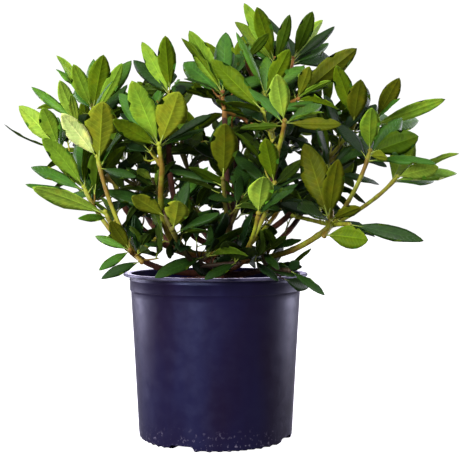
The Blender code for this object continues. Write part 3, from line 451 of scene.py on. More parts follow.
class ShrubPotSettings(bpy.types.PropertyGroup):
    """The nursery pot."""
    plastic: colour("Plastic", "Colour of the moulded plastic", 20, 8, 30)
    plastic_worn: colour("Worn plastic", "Colour where the plastic is rubbed", 20, 17, 48)
    # the inside colour is painted shade for the pot's inside wall and its drain notches
    inside_shade: colour("Inside", "Colour of the damp inside wall and of the holes", 14, 11, 44)
    # the lip colour is a painted highlight along the rim's bead
    lip_highlight: colour("Rubbed lip", "Colour of the rubbed lip", 90, 86, 112)
    dust: colour("Dust", "Dried splashes near the foot", 104, 98, 118)
    gloss_roughness: share("Roughness", "Roughness of the clean plastic", 0.36)
    bloom: share("Bloom", "Pale bloom on the plastic where it is seen edge on", 1.0)
    foot_ripple: length("Foot ripple", "Height of the uneven moulding under the foot", 0.0030)


class ShrubMixSettings(bpy.types.PropertyGroup):
    """The bark mix in the pot."""
    chips: IntProperty(name="Chips", description="Number of loose bark chips", default=1500, min=0)
    chip_size: length("Chip size", "Usual length of a chip", 0.013)
    dark: colour("Dark mix", "Damp mix between the chips", 40, 24, 20)
    red: colour("Red chips", "Reddish bark chips", 104, 58, 44)
    pale: colour("Pale chips", "Dry pale chips", 136, 100, 80)


class ShrubWoodSettings(bpy.types.PropertyGroup):
    """Trunk, boughs and twigs."""
    old: colour("Old bark", "Bark of the trunk and the oldest boughs", 96, 56, 42)
    old_dark: colour("Old bark cracks", "Cracks in the old bark", 44, 26, 22)
    turning: colour("Turning bark", "Bark that turns from green to brown", 150, 108, 44)
    turning_dark: colour("Turning bark marks", "Marks on turning bark", 104, 62, 30)
    young: colour("Young bark", "Green bark of young shoots", 136, 144, 38)
    young_dark: colour("Young bark marks", "Marks on young bark", 116, 90, 28)
    # shaded bark is painted shade: a darker bark for shoots low in and at the back of the crown
    shade: colour("Shaded bark", "Green bark of shoots low in the crown", 88, 86, 24)
    shade_dark: colour("Shaded bark marks", "Marks on shaded bark", 58, 42, 20)
    relief: length("Bark relief", "Height of the bark's relief on the trunk", 0.0016)
    bud: colour("Buds", "Resting buds at the shoot tips", 128, 150, 58)


class ShrubLeafSettings(bpy.types.PropertyGroup):
    """The leaves' two faces in each tint."""
    rib: colour("Stalks", "Leaf stalks", 132, 148, 50)
    upper_roughness: share("Upper roughness", "Roughness of the waxy upper face", 0.44)
    under_roughness: share("Under roughness", "Roughness of the matt underside", 0.58)


for tint, (label, which, upper, under) in LEAF_TONES.items():
    notes = ShrubLeafSettings.__annotations__
    notes["upper_" + tint] = colour(label + " upper face", "Upper face of " + which, *upper)
    notes["under_" + tint] = colour(label + " underside", "Underside of " + which, *under)


class ShrubStageSettings(bpy.types.PropertyGroup):
    """Floor, light and camera."""
    floor: colour("Floor", "Pale floor", 252, 252, 252)
    sky_strength: strength("Room light", "Light from all round", 0.32)
    sheen_strength: strength("Room sheen", "Brightness of the room in the gloss", 0.18)
    key_power: strength("Key light", "Large soft light, front left", 74.0, "POWER")
    top_power: strength("Top light", "Soft light overhead", 16.0, "POWER")
    side_power: strength("Side lights", "Soft boxes behind the sides", 36.0, "POWER")
    camera_lens: strength("Lens", "Focal length", 72.6, "CAMERA")


# ---------------------------------------------------------------- meshes and materials


def new_piece(name, mesh):
    """An object in the scene with a mesh."""
    thing = bpy.data.objects.new(name, mesh)
    bpy.context.scene.collection.objects.link(thing)
    return thing


def mesh_from(name, points, faces, smooth=True):
    """A mesh of points and faces, its faces turned outwards."""
    mesh = bpy.data.meshes.new(name)
    mesh.from_pydata([tuple(point) for point in points], [], faces)
    body = bmesh.new()
    body.from_mesh(mesh)
    bmesh.ops.recalc_face_normals(body, faces=body.faces)
    body.to_mesh(mesh)
    body.free()
    for face in mesh.polygons:
        face.use_smooth = smooth
    return mesh


def facing_up(mesh):
    """A flat mesh with its faces turned up."""
    if mesh.polygons[0].normal.z < 0.0:
        mesh.flip_normals()
    return mesh


def stand_in(piece, node):
    """Let a piece ride with the one body, in place of a node of the frame."""
    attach(piece, "root")
    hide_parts(node)


def tell(tree, node, inputs):
    """Give a node's inputs numbers, colours or other nodes' outputs."""
    for name, value in inputs.items():
        if isinstance(value, bpy.types.NodeSocket):
            tree.links.new(value, node.inputs[name])
        else:
            node.inputs[name].default_value = value


def add_node(tree, kind, inputs=None, **settings):
    """A node of a kind with its settings and what its inputs are told."""
    node = tree.nodes.new(kind)
    for name, value in settings.items():
        setattr(node, name, value)
    tell(tree, node, inputs or {})
    return node


def object_place(tree):
    """A point's place on its piece."""
    return add_node(tree, "ShaderNodeTexCoord").outputs["Object"]


def height_of(tree, place):
    """A place's height."""
    return add_node(tree, "ShaderNodeSeparateXYZ", {"Vector": place}).outputs["Z"]


def object_noise(tree, scale, detail=4.0, stretch=(1.0, 1.0, 1.0)):
    """A noise pattern fixed to the piece, stretched along an axis where told."""
    turn = add_node(tree, "ShaderNodeMapping", {"Vector": object_place(tree), "Scale": stretch})
    kept = {"Vector": turn.outputs["Vector"], "Scale": scale, "Detail": detail}
    return add_node(tree, "ShaderNodeTexNoise", kept).outputs["Fac"]


def ramp(tree, value, low, high, start=0.0, end=1.0):
    """A pattern's values from low to high drawn out from one number to another."""
    kept = {"Value": value, "From Min": low, "From Max": high, "To Min": start, "To Max": end}
    return add_node(tree, "ShaderNodeMapRange", kept).outputs["Result"]


def mixed(tree, value, first, second):
    """A colour between two, each a plain colour or another node's colour."""
    mix = add_node(tree, "ShaderNodeMix", {"Factor": value}, data_type="RGBA")
    for name, tone in (("A", first), ("B", second)):
        socket = next(item for item in mix.inputs if item.name == name and item.type == "RGBA")
        if isinstance(tone, bpy.types.NodeSocket):
            tree.links.new(tone, socket)
        else:
            socket.default_value = (*tone, 1.0)
    return next(item for item in mix.outputs if item.type == "RGBA")


def bumped(tree, height, strength, distance, before=None):
    """A bump from a pattern, laid over another bump where told."""
    kept = {"Height": height, "Strength": strength, "Distance": distance}
    if before:
        kept["Normal"] = before
    return add_node(tree, "ShaderNodeBump", kept).outputs["Normal"]


def new_material(name, roughness, specular=0.5):
    """A material, its node tree and its surface shader."""
    material = bpy.data.materials.new(name)
    material.use_nodes = True
    surface = next(node for node in material.node_tree.nodes if node.type == "BSDF_PRINCIPLED")
    surface.inputs["Roughness"].default_value = roughness
    surface.inputs["Specular IOR Level"].default_value = specular
    return material, material.node_tree, surface


def darker(tone, part):
    """A colour made darker by a share, or lighter by a negative one, at most white."""
    return tuple(min(1.0, channel * (1.0 - part)) for channel in tone)


def sum_of(tree, operation, first, second):
    """One arithmetic step on two values or numbers."""
    return add_node(tree, "ShaderNodeMath", {0: first, 1: second}, operation=operation).outputs["Value"]


def product(tree, first, second):
    """Two values multiplied."""
    return sum_of(tree, "MULTIPLY", first, second)


def finished(material, surface, tone, relief=None):
    """A material once its surface has its colour and its relief."""
    tell(material.node_tree, surface, {"Base Color": tone, **({"Normal": relief} if relief else {})})
    return material


def place_on_leaf(tree):
    """How far from the midrib, 0 to 0.5, and how far along from the foot, 0 to 1, a point of a leaf lies."""
    place = add_node(tree, "ShaderNodeUVMap", uv_map="UVMap").outputs["UV"]
    parts = add_node(tree, "ShaderNodeSeparateXYZ", {"Vector": place})
    across = sum_of(tree, "ABSOLUTE", sum_of(tree, "SUBTRACT", parts.outputs["X"], 0.5), 0.0)
    return across, parts.outputs["Y"]


def side_vein_lines(tree, across, along):
    """Lines of the side veins, which leave the midrib and run on toward the tip."""
    level = sum_of(tree, "SUBTRACT", along, product(tree, across, 0.30))
    return ramp(tree, sum_of(tree, "PINGPONG", product(tree, level, SIDE_VEINS), 0.5), 0.11, 0.0)


def leaf_material(name, tone, roughness, vein_share, specular):
    """One face of a leaf in one tint: mottled, with painted shade toward its foot, paler at its edge and
    midrib, with faint side veins.
    """
    material, tree, surface = new_material(name, roughness, specular)
    across, along = place_on_leaf(tree)
    veins = side_vein_lines(tree, across, along)
    spray = mixed(tree, ramp(tree, object_noise(tree, 16.0, 2.0), 0.34, 0.66), tone, darker(tone, 0.26))
    warm = (min(1.0, tone[0] * 1.4), tone[1] * 1.06, tone[2] * 0.9)
    patches = product(tree, ramp(tree, object_noise(tree, 60.0, 3.0), 0.46, 0.70), 0.75)
    patched = mixed(tree, patches, spray, warm)
    blotches = ramp(tree, object_noise(tree, 130.0, 5.0), 0.45, 0.78)
    mottle = mixed(tree, blotches, patched, darker(tone, 0.42))
    # painted shade: the leaf darkens toward its foot, where the rosette's leaves crowd
    foot_shaded = mixed(tree, product(tree, ramp(tree, along, 0.34, 0.0), 0.32), mottle, darker(tone, 0.62))
    veined = mixed(tree, product(tree, veins, vein_share), foot_shaded, darker(tone, -0.6))
    edged = mixed(tree, product(tree, ramp(tree, across, 0.41, 0.5), 0.7), veined, darker(tone, -0.75))
    rib = product(tree, ramp(tree, across, 0.034, 0.012), ramp(tree, along, 1.0, 0.55))
    quilted = bumped(tree, veins, 0.4, 0.0007)
    return finished(material, surface, mixed(tree, product(tree, rib, 0.6), edged, darker(tone, -0.6)),
                    bumped(tree, object_noise(tree, 200.0, 4.0), 0.35, 0.0010, quilted))


def stalk_material(settings):
    """The leaf stalks."""
    material, tree, surface = new_material("leaf_rib", 0.5, 0.4)
    blotches = ramp(tree, object_noise(tree, 30.0), 0.35, 0.7)
    return finished(material, surface, mixed(tree, blotches, settings.rib, darker(settings.rib, 0.25)))


def bark_material(age, tone, dark, foot, roughness):
    """Bark of one age: mottled along the stem, with darker cracks and marks, and browner and darker toward
    the pot, partly older bark and partly painted shade.
    """
    material, tree, surface = new_material("bark_" + age, roughness, 0.25)
    broad = mixed(tree, ramp(tree, object_noise(tree, 34.0, 3.0), 0.42, 0.62), tone, dark)
    marks = ramp(tree, object_noise(tree, 190.0, 6.0, (1.0, 1.0, 0.45)), 0.5, 0.72)
    marked = mixed(tree, product(tree, marks, 0.8), broad, darker(dark, 0.3))
    drift = product(tree, object_noise(tree, 18.0), 0.06)
    uneven = sum_of(tree, "ADD", height_of(tree, object_place(tree)), drift)
    # partly painted shade: the bark darkens toward the pot, under the crown
    low = ramp(tree, uneven, OLD_BARK_HEIGHTS[1] + 0.03, OLD_BARK_HEIGHTS[0] + 0.03)
    shaded = mixed(tree, marks, foot, darker(foot, 0.5))
    fine = object_noise(tree, 300.0, 6.0, (1.0, 1.0, 0.4))
    return finished(material, surface, mixed(tree, low, marked, shaded), bumped(tree, fine, 0.5, 0.0012))


def finish_step(thing, step):
    """Give a piece the mesh that a modifier makes from it, and drop the modifier."""
    bpy.context.view_layer.update()
    made = bpy.data.meshes.new_from_object(thing.evaluated_get(bpy.context.evaluated_depsgraph_get()))
    thing.modifiers.remove(step)
    thing.data = made


def apply_nodes(thing, tree, values):
    """Give a piece the mesh that a node tree makes from it, with the named inputs set."""
    step = thing.modifiers.new(tree.name, "NODES")
    step.node_group = tree
    for item in tree.interface.items_tree:
        if item.item_type == "SOCKET" and item.in_out == "INPUT" and item.name in values:
            step[item.identifier] = values[item.name]
    finish_step(thing, step)


def drop_attributes(mesh, names):
    """Remove working attributes from a finished mesh."""
    for name in names:
        if name in mesh.attributes:
            mesh.attributes.remove(mesh.attributes[name])


def new_nodes(name, inputs):
    """A Geometry Nodes tree that changes one geometry: the tree, its inputs' values and its end."""
    tree = bpy.data.node_groups.new(name, "GeometryNodeTree")
    tree.interface.new_socket("Geometry", in_out="INPUT", socket_type="NodeSocketGeometry")
    for label, kind, value in inputs:
        item = tree.interface.new_socket(label, in_out="INPUT", socket_type=kind)
        if value is not None:
            item.default_value = value
    tree.interface.new_socket("Geometry", in_out="OUTPUT", socket_type="NodeSocketGeometry")
    given, made = add_node(tree, "NodeGroupInput"), add_node(tree, "NodeGroupOutput")
    return tree, given.outputs, made.inputs["Geometry"]


def named(tree, name, data_type):
    """The values of a named attribute."""
    node = add_node(tree, "GeometryNodeInputNamedAttribute", {"Name": name}, data_type=data_type)
    return node.outputs["Attribute"]


def is_number(tree, value, number):
    """Whether a whole-number attribute has one value."""
    node = add_node(tree, "FunctionNodeCompare", data_type="INT", operation="EQUAL")
    first, second = (item for item in node.inputs if item.name in "AB" and item.type == "INT")
    second.default_value = number
    tree.links.new(value, first)
    return node.outputs["Result"]


# ---------------------------------------------------------------- the growth rule


def tube_rings(path, radii, sides):
    """Rings of points square to a path, carried along it without twist."""
    rings = []
    side_way = None
    for count, point in enumerate(path):
        before = path[max(count - 1, 0)]
        after = path[min(count + 1, len(path) - 1)]
        along = (after - before).normalized()
        if side_way is None:
            side_way = along.orthogonal().normalized()
        side_way = (side_way - along * side_way.dot(along)).normalized()
        other = along.cross(side_way)
        ring = []
        for side in range(sides):
            angle = math.tau * side / sides
            ring.append(point + radii[count] * (math.cos(angle) * side_way + math.sin(angle) * other))
        rings.append(ring)
    return rings


def body_from_rings(rings, tip=None):
    """Points and faces of a closed body through rings, flat at the start, flat or pointed at the end."""
    sides = len(rings[0])
    points = [point for ring in rings for point in ring]
    faces = [tuple(range(sides))]
    for level in range(len(rings) - 1):
        for side in range(sides):
            after = (side + 1) % sides
            low, high = level * sides, (level + 1) * sides
            faces.append((low + side, low + after, high + after, high + side))
    last = (len(rings) - 1) * sides
    if tip is None:
        faces.append(tuple(range(last, last + sides)))
    else:
        points.append(tip)
        for side in range(sides):
            faces.append((last + side, last + (side + 1) % sides, len(points) - 1))
    return points, faces


def crown_point(place):
    """A point of the crown from its design place (mm), raised or lowered by the crown's lean."""
    spot = Vector(place) * MM
    spot.z += CROWN_LEAN * spot.y
    return spot


def curve_points(start, elbow, end, steps):
    """Points on a curve that leaves the start toward the elbow and reaches the end from it."""
    path = []
    for step in range(steps + 1):
        along = step / steps
        back = 1.0 - along
        path.append(start * back * back + elbow * 2.0 * back * along + end * along * along)
    return path


def trunk_point(height):
    """The trunk's centre and radius at a height above the potting mix."""
    foot = Vector((0.0, 0.0, SOIL_CROWN_HEIGHT + SEAT_GAP))
    for low, high, near, far in zip(TRUNK_PATH, TRUNK_PATH[1:], TRUNK_RADII, TRUNK_RADII[1:]):
        if height <= high[2]:
            part = (height - low[2]) / (high[2] - low[2])
            return Vector(low).lerp(Vector(high), part) + foot, near + part * (far - near)
    return Vector(TRUNK_PATH[-1]) + foot, TRUNK_RADII[-1]


def trunk_body():
    """The short leaning trunk's plain shape."""
    base = Vector((0.0, 0.0, SOIL_CROWN_HEIGHT + SEAT_GAP))
    rings = []
    for level, (offset, radius) in enumerate(zip(TRUNK_PATH, TRUNK_RADII)):
        ring = []
        for side in range(TRUNK_SIDES):
            turn = math.tau * side / TRUNK_SIDES
            lobe = 1.0
            if level == 0:
                lobe += ROOT_FLARE_DEPTH * math.cos(ROOT_FLARE_LOBES * turn)
            out = Vector((math.cos(turn), math.sin(turn), 0.0))
            ring.append(base + Vector(offset) + radius * lobe * out)
        rings.append(ring)
    points, faces = body_from_rings(rings, base + Vector(TRUNK_PATH[-1]) + Vector((0.001, 0.0, 0.004)))
    split = [face for face in faces if len(face) != 4]
    for first, second, third, fourth in [face for face in faces if len(face) == 4]:
        split += [(first, second, third), (first, third, fourth)]
    return points, split


def tapered(ends, steps):
    """Radii from one end's to the other's."""
    return [ends[0] + (ends[1] - ends[0]) * step / steps for step in range(steps + 1)]


def bough_radii():
    """The bough's radius at each step."""
    return tapered(BOUGH_RADII, BOUGH_STEPS)


def bough_starts():
    """Where each bough starts by name: as near the trunk as it may."""
    trunk = tree_of(*trunk_body())
    starts = {}
    for name, group in GROUPS.items():
        fork = crown_point(group["fork"])
        elbow = crown_point(group["elbow"])
        centre, radius = trunk_point(group["start"] * MM)
        outward = Vector((elbow.x - centre.x, elbow.y - centre.y, 0.0)).normalized()
        radii = [own + SEAT_GAP for own in bough_radii()]
        reach = radius + SEAT_SEARCH
        while True:
            inner = curve_points(centre + outward * (reach - SEAT_GAP), elbow, fork, BOUGH_STEPS)
            if tree_of(*body_from_rings(tube_rings(inner, radii, BOUGH_SIDES))).overlap(trunk):
                break
            starts[name] = centre + outward * reach
            reach -= SEAT_STEP
    return starts


def bough_path(name, start, steps):
    """A bough's centre line."""
    group = GROUPS[name]
    return curve_points(start, crown_point(group["elbow"]), crown_point(group["fork"]), steps)


def shoot_axis(place):
    """The way a shoot's rosette faces: up, and outward the farther it stands from the middle."""
    outward = Vector((place.x - 0.02, place.y, 0.0))
    return (Vector((0.0, 0.0, 1.0)) + outward * 2.0).normalized()


def twig_path(root, way, place, steps):
    """A twig's centre line: outward first, then up into its rosette."""
    reach = place - root
    elbow = root + Vector((reach.x * 0.65, reach.y * 0.65, reach.z * 0.44)) + way * 0.004
    return curve_points(root, elbow, place, steps)


def leaf_frame(way, upper):
    """Across and face directions of a blade that runs one way with its upper face as told."""
    face = (upper - way * upper.dot(way)).normalized()
    return way.cross(face), face


def leaf_body(root, way, upper, size, grow=0.0):
    """Points and faces of one plain leaf: a six-cornered blade, thickest at its middle, arched along it."""
    across, face = leaf_frame(way, upper)
    width = LEAF_WIDTH * size
    thickness = LEAF_THICKNESS * size
    rim = []
    outline = list(LEAF_OUTLINE) + [(along, -side) for along, side in LEAF_OUTLINE[-2:0:-1]]
    for along, side in outline:
        rise = LEAF_ARCH * size * 4.0 * along * (1.0 - along)
        spot = root + way * (along * size) + across * (side * width) + face * rise
        if grow:
            spot += (way * (along - 0.5) * 2.0 + across * side * 2.0) * grow
        rim.append(spot)
    middle = root + way * (0.52 * size) + face * (LEAF_ARCH * size)
    high = len(rim)
    points = rim + [middle + face * (thickness / 2.0 + grow), middle - face * (thickness / 2.0 + grow)]
    faces = []
    for corner in range(high):
        after = (corner + 1) % high
        faces.append((corner, after, high))
        faces.append((after, corner, high + 1))
    return points, faces


def facing(way, axis, turn_forward):
    """The upper face's direction: toward the shoot's axis, turned to or from the front."""
    natural = axis - way * axis.dot(way)
    if natural.length < 0.15:
        natural = Vector((0.0, 0.0, 1.0)) - way * way.z
    natural.normalize()
    back = Vector((0.0, 1.0, 0.0)) - way * way.y
    if not turn_forward or back.length < 0.1:
        return natural
    back.normalize()
    if turn_forward == EDGE_ON:
        return way.cross(back)
    part = abs(turn_forward) / 10.0
    if turn_forward < 0:
        back = -back
    between = natural * (1.0 - part) + back * part
    if between.length < 0.1:
        return natural
    return between.normalized()


def swung(leaf, axis, turn, lift):
    """A leaf swung round its shoot and toward or from the shoot's axis."""
    root, way, upper, size = leaf
    around = Matrix.Rotation(turn, 3, axis)
    way = around @ way
    upper = around @ upper
    hinge = axis.cross(way)
    if hinge.length > 0.1:
        bend = Matrix.Rotation(lift, 3, hinge.normalized())
        way = bend @ way
        upper = bend @ upper
    return root, way, upper, size


def swung_each(leaf, axis, swings):
    """A leaf at each of the swings it may take, by degrees."""
    return [swung(leaf, axis, math.radians(turn), math.radians(lift)) for turn, lift in swings]


def leading_leaves(place, below, axis, size, leads):
    """The leaves placed one by one, each with the slight swings it may take to stay clear."""
    leaves = []
    for number, (across, up, side, turn_forward, _, _, *own_length) in enumerate(leads):
        shown = math.hypot(across, up)
        span = own_length[0] if own_length else min(size, max(LEAD_LEAN * shown, LEAD_SHORTEST * size))
        root = place.lerp(below, ROOT_SPREAD * number / len(leads))
        depth = math.sqrt(max(span * span - shown * shown, 0.0))
        reach = place + crown_point((across, -side * depth, up)) - root
        way = reach.normalized()
        leaf = (root, way, facing(way, axis, turn_forward), reach.length)
        leaves.append(swung_each(leaf, axis, LEAD_SWINGS))
    return leaves


def spread_leaves(place, below, axis, size, count, chance):
    """The leaves dealt round the shoot by the golden angle, inner ones upright, outer ones spread."""
    leaves = []
    first = axis.orthogonal().normalized()
    second = axis.cross(first)
    roll = chance.uniform(0.0, math.tau)
    for number in range(count):
        turn = roll + number * GOLDEN_ANGLE + chance.uniform(-0.15, 0.15)
        part = (number + 0.5) / count
        spread = SPREAD_INNER + (SPREAD_OUTER - SPREAD_INNER) * part + chance.uniform(-0.12, 0.12)
        out = math.cos(turn) * first + math.sin(turn) * second
        way = (axis * math.cos(spread) + out * math.sin(spread)).normalized()
        span = size * MM * chance.uniform(0.84, 1.0)
        leaf = (place.lerp(below, ROOT_SPREAD * part), way, facing(way, axis, 0), span)
        leaves.append(swung_each(leaf, axis, SPREAD_SWINGS))
    return leaves


def shown_at(point):
    """Where a point shows in the front elevation: across and height."""
    scale = EYE_DISTANCE / (EYE_DISTANCE + point.y)
    return Vector((point.x * scale, EYE_HEIGHT + (point.z - EYE_HEIGHT) * scale))


def leaf_marks(leaf):
    """Points spread over a leaf, its middle last, by which its place in the front elevation is judged."""
    root, way, upper, size = leaf
    across, _ = leaf_frame(way, upper)
    marks = []
    for along, side in LEAF_MARKS:
        marks.append(root + way * (along * size) + across * (side * LEAF_WIDTH * size))
    return marks


def in_light_gap(points):
    """Whether any of a leaf's points shows in a light gap of the front elevation."""
    for point in points:
        across, height = shown_at(point)
        for gap_x, gap_z, half_x, half_z in LIGHT_GAPS:
            if ((across / MM - gap_x) / half_x) ** 2 + ((height / MM - gap_z) / half_z) ** 2 < 1.0:
                return True
    return False


def lead_strip(leaf):
    """The strip that the outer part of a leading leaf fills in the front elevation, with its depths."""
    root, way, _, size = leaf
    foot = root + way * (LEAD_BARE * size)
    tip = root + way * size
    return shown_at(foot), shown_at(tip), foot.y, tip.y, LEAD_COVER * LEAF_WIDTH * size


def stem_strips(line):
    """The strips that a stem fills in the front elevation, with their depths."""
    return [(shown_at(low), shown_at(high), low.y, high.y, STEM_COVER) for low, high in zip(line, line[1:])]


def hides_a_strip(points, strips):
    """Whether any of a leaf's points stands before a strip of the front elevation."""
    middle = shown_at(points[-1])
    for foot, tip, foot_depth, tip_depth, half in strips:
        if (middle - (foot + tip) / 2.0).length > LEAD_NEAR:
            continue
        run = tip - foot
        for point in points:
            spot = shown_at(point)
            part = min(max((spot - foot).dot(run) / max(run.length_squared, 1e-9), 0.0), 1.0)
            depth = foot_depth + (tip_depth - foot_depth) * part
            if (foot + run * part - spot).length < half and point.y < depth:
                return True
    return False


def tree_of(points, faces):
    """A search tree of a body's surface."""
    return BVHTree.FromPolygons([tuple(point) for point in points], faces, epsilon=0.0)


def plan_group(name, group, start, number):
    """Every twig of a group and the leaves it would grow."""
    path = bough_path(name, start, BOUGH_STEPS)
    way = (path[-1] - path[-2]).normalized()
    node = path[-1] + way * STUB_LENGTH
    shown = group["shown"]
    strips = stem_strips(path[BOUGH_STEPS // 2:]) if "bough" in shown else []
    shoots = []
    for order, (letter, (place, size, count, usual, *leads)) in enumerate(group["shoots"].items()):
        chance = random.Random(100 * number + order)
        place = crown_point(place)
        axis = shoot_axis(place)
        twig = twig_path(node, way, place, TWIG_STEPS)
        strips += stem_strips(twig) if letter in shown else []
        shoots.append({
            "place": place, "twig": twig, "shown": letter in shown,
            "usual": usual, "looks": [(tint, broad) for _, _, _, _, tint, broad, *_ in leads],
            "leads": leading_leaves(place, twig[-2], axis, size, leads),
            "spreads": spread_leaves(place, twig[-2], axis, size, count, chance),
        })
    return {
        "name": name, "bough": path, "start": start, "way": way, "shoots": shoots, "stem_strips": strips,
        "stub": (path[-1] + way * SEAT_GAP, node, way), "kept": [], "sides": [],
    }


def stub_body(stub):
    """The short thick root a group stands on, just clear of its bough."""
    start, node, way = stub
    path = [start, node - way * 0.003, node + way * 0.003, node + way * 0.006]
    return body_from_rings(tube_rings(path, [BOUGH_RADII[1] * part for part in (1.0, 1.2, 1.2, 0.6)], 5))


def twig_body(path):
    """One plain three-sided twig with the bud at its end."""
    bud = path[-1] + (path[-1] - path[-2]).normalized() * BUD_LENGTH
    return body_from_rings(tube_rings(path, tapered(TWIG_RADII, len(path) - 1), 3), bud)


def frame_body(name):
    """Points and faces of a solid of the frame."""
    mesh = frame["nodes"][name].data
    return [vertex.co.copy() for vertex in mesh.vertices], [tuple(face.vertices) for face in mesh.polygons]


def choose_leaves(plans):
    """Grow each leaf at the first swing that is clear of limbs, other groups and neighbouring blades."""
    radii = [radius + SEAT_GAP for radius in bough_radii()]
    limbs = [body_from_rings(tube_rings(plan["bough"], radii, BOUGH_SIDES)) for plan in plans]
    limbs += [frame_body(name) for name in ("pot", "potting_mix", "trunk")]
    taken = [(None, tree_of(*body)) for body in limbs]
    for plan in plans:
        taken.append((plan["name"], tree_of(*stub_body(plan["stub"]))))
        taken += [(plan["name"], tree_of(*twig_body(shoot["twig"]))) for shoot in plan["shoots"]]
    blades = []
    strips = [strip for plan in plans for strip in plan["stem_strips"]]
    for stage, plan, shoot in [(stage, plan, shoot) for stage in ("leads", "spreads")
                               for plan in plans for shoot in plan["shoots"]]:
        for count, swings in enumerate(shoot[stage]):
            leaf = first_clear(swings, stage, plan["name"], taken, blades, strips)
            if leaf:
                look = shoot["looks"][count] if stage == "leads" else (shoot["usual"], 1.0)
                plan["kept"].append((*leaf, *look, stage))
                strips += [lead_strip(leaf)] if stage == "leads" else []
    for number, plan in enumerate(plans):
        grow_side_shoots(plan, random.Random(SIDE_SEED + number), taken, blades, strips)
    return strips


def side_shoot(base, along, chance, turn):
    """The line of one fine side shoot: out from its twig, then upward."""
    first = along.orthogonal().normalized()
    out = math.cos(turn) * first + math.sin(turn) * along.cross(first)
    way = (out + along * 0.5 + Vector((0.0, 0.0, 0.45))).normalized()
    span = chance.uniform(*SIDE_LENGTH)
    return curve_points(base, base + out * (0.45 * span), base + way * span, 4)


def grow_side_shoots(plan, chance, taken, blades, strips):
    """Grow fine side shoots with a few small leaves from a group's twigs and bough, where there is room."""
    lines = [(twig_path(plan["stub"][1], plan["way"], shoot["place"], 20), SIDE_STARTS)
             for shoot in plan["shoots"] if not shoot["shown"]]
    if "bough" not in GROUPS[plan["name"]]["shown"]:
        lines.append((bough_path(plan["name"], plan["start"], 20), BOUGH_SIDE_STARTS))
    turn = chance.uniform(0.0, math.tau)
    for line, start in [(line, start) for line, starts in lines for start in starts]:
        step = round(start * (len(line) - 1))
        turn += GOLDEN_ANGLE
        path = side_shoot(line[step], (line[step + 1] - line[step - 1]).normalized(), chance, turn)
        axis = (path[-1] - path[-2]).normalized()
        size = chance.uniform(*SIDE_LEAF_SIZE)
        grown = []
        for swings in spread_leaves(path[-1], path[-2], axis, size, SIDE_LEAVES, chance):
            leaf = first_clear(swings, "spreads", plan["name"], taken, blades, strips)
            if leaf:
                # painted shade: side leaves within the crown take the dark tints
                tint = "shade" if chance.random() < SIDE_SHADE_SHARE else "deep"
                grown.append((*leaf, tint, 1.0, "side"))
        if grown:
            plan["kept"] += grown
            plan["sides"].append(path)


def turned_leaf(leaf, roll, swing, lift):
    """A leaf rolled about its own length and swung about its foot, by degrees."""
    root, way, upper, size = leaf
    across, face = leaf_frame(way, upper)
    turn = Matrix.Rotation(math.radians(swing), 3, face) @ Matrix.Rotation(math.radians(lift), 3, across)
    return root, turn @ way, turn @ (Matrix.Rotation(math.radians(roll), 3, way) @ face), size


def blade_tree(leaf):
    """A search tree of the outer three quarters of a leaf."""
    root, way, upper, size = leaf
    return tree_of(*leaf_body(root + way * (STALK_END * size), way, upper, (1.0 - STALK_END) * size))


def off_edge(kept):
    """A kept leaf, rolled a little where it isn't a leading one and would show only its edge in front."""
    leaf = tuple(kept[:4])
    root, way, upper, size = leaf
    sight = (root + way * (0.5 * size) - Vector((0.0, -EYE_DISTANCE, EYE_HEIGHT))).normalized()
    face = leaf_frame(way, upper)[1].dot(sight)
    if kept[-1] != "leads" and abs(face) < EDGE_SHARE:
        rolled = [turned_leaf(leaf, turn, 0.0, 0.0) for turn in (EDGE_ROLL, -EDGE_ROLL)]
        leaf = max(rolled, key=lambda tried: abs(tried[2].dot(sight)))
    return (*leaf, *kept[4:])


def settle_leaves(plans, strips):
    """Turn leaves a little where their blades would pass through a neighbour's."""
    leaves = [[plan, list(kept)] for plan in plans for kept in plan["kept"]]
    trees = [blade_tree(kept[:4]) for _, kept in leaves]
    finder = KDTree(len(leaves))
    for number, (_, kept) in enumerate(leaves):
        finder.insert(kept[0] + kept[1] * (SETTLE_MIDDLE * kept[3]), number)
    finder.balance()
    for number, (owner, kept) in [entry for _ in range(SETTLE_ROUNDS) for entry in enumerate(leaves)]:
        leaf = tuple(kept[:4])
        near = finder.find_range(leaf[0] + leaf[1] * (SETTLE_MIDDLE * leaf[3]), SETTLE_NEAR)
        others = [trees[other] for _, other, _ in near if other != number]
        crossed = sum(1 for other in others if trees[number].overlap(other))
        for turns in SETTLE_TURNS if crossed else ():
            tried = turned_leaf(leaf, *turns)
            marks = leaf_marks(tried)
            if in_light_gap(marks) or kept[-1] != "leads" and hides_a_strip(marks, strips):
                continue
            tree = blade_tree(tried)
            count = sum(1 for other in others if tree.overlap(other))
            if count < crossed:
                crossed = count
                kept[:4] = tried
                trees[number] = tree
                if not count:
                    break
    for plan in plans:
        plan["kept"] = [off_edge(kept) for owner, kept in leaves if owner is plan]


def first_clear(swings, stage, owner, taken, blades, strips):
    """The first swing of a leaf that is clear, noted as taken, or None."""
    for leaf in swings:
        marks = leaf_marks(leaf)
        if stage == "spreads" and (in_light_gap(marks) or hides_a_strip(marks, strips)):
            continue
        tree = tree_of(*leaf_body(*leaf, grow=LEAF_MARGIN))
        if any(other_owner != owner and tree.overlap(other) for other_owner, other in taken):
            continue
        blade = blade_tree(leaf)
        if stage == "spreads" and any(blade.overlap(other) for other in blades):
            continue
        taken.append((owner, tree))
        blades.append(blade)
        return leaf
    return None


@functools.lru_cache(maxsize=1)
def crown_plan():
    """Every group's bough, twigs and leaves."""
    starts = bough_starts()
    plans = [plan_group(name, group, starts[name], number)
             for number, (name, group) in enumerate(GROUPS.items())]
    settle_leaves(plans, choose_leaves(plans))
    return plans


# ---------------------------------------------------------------- pot and mix


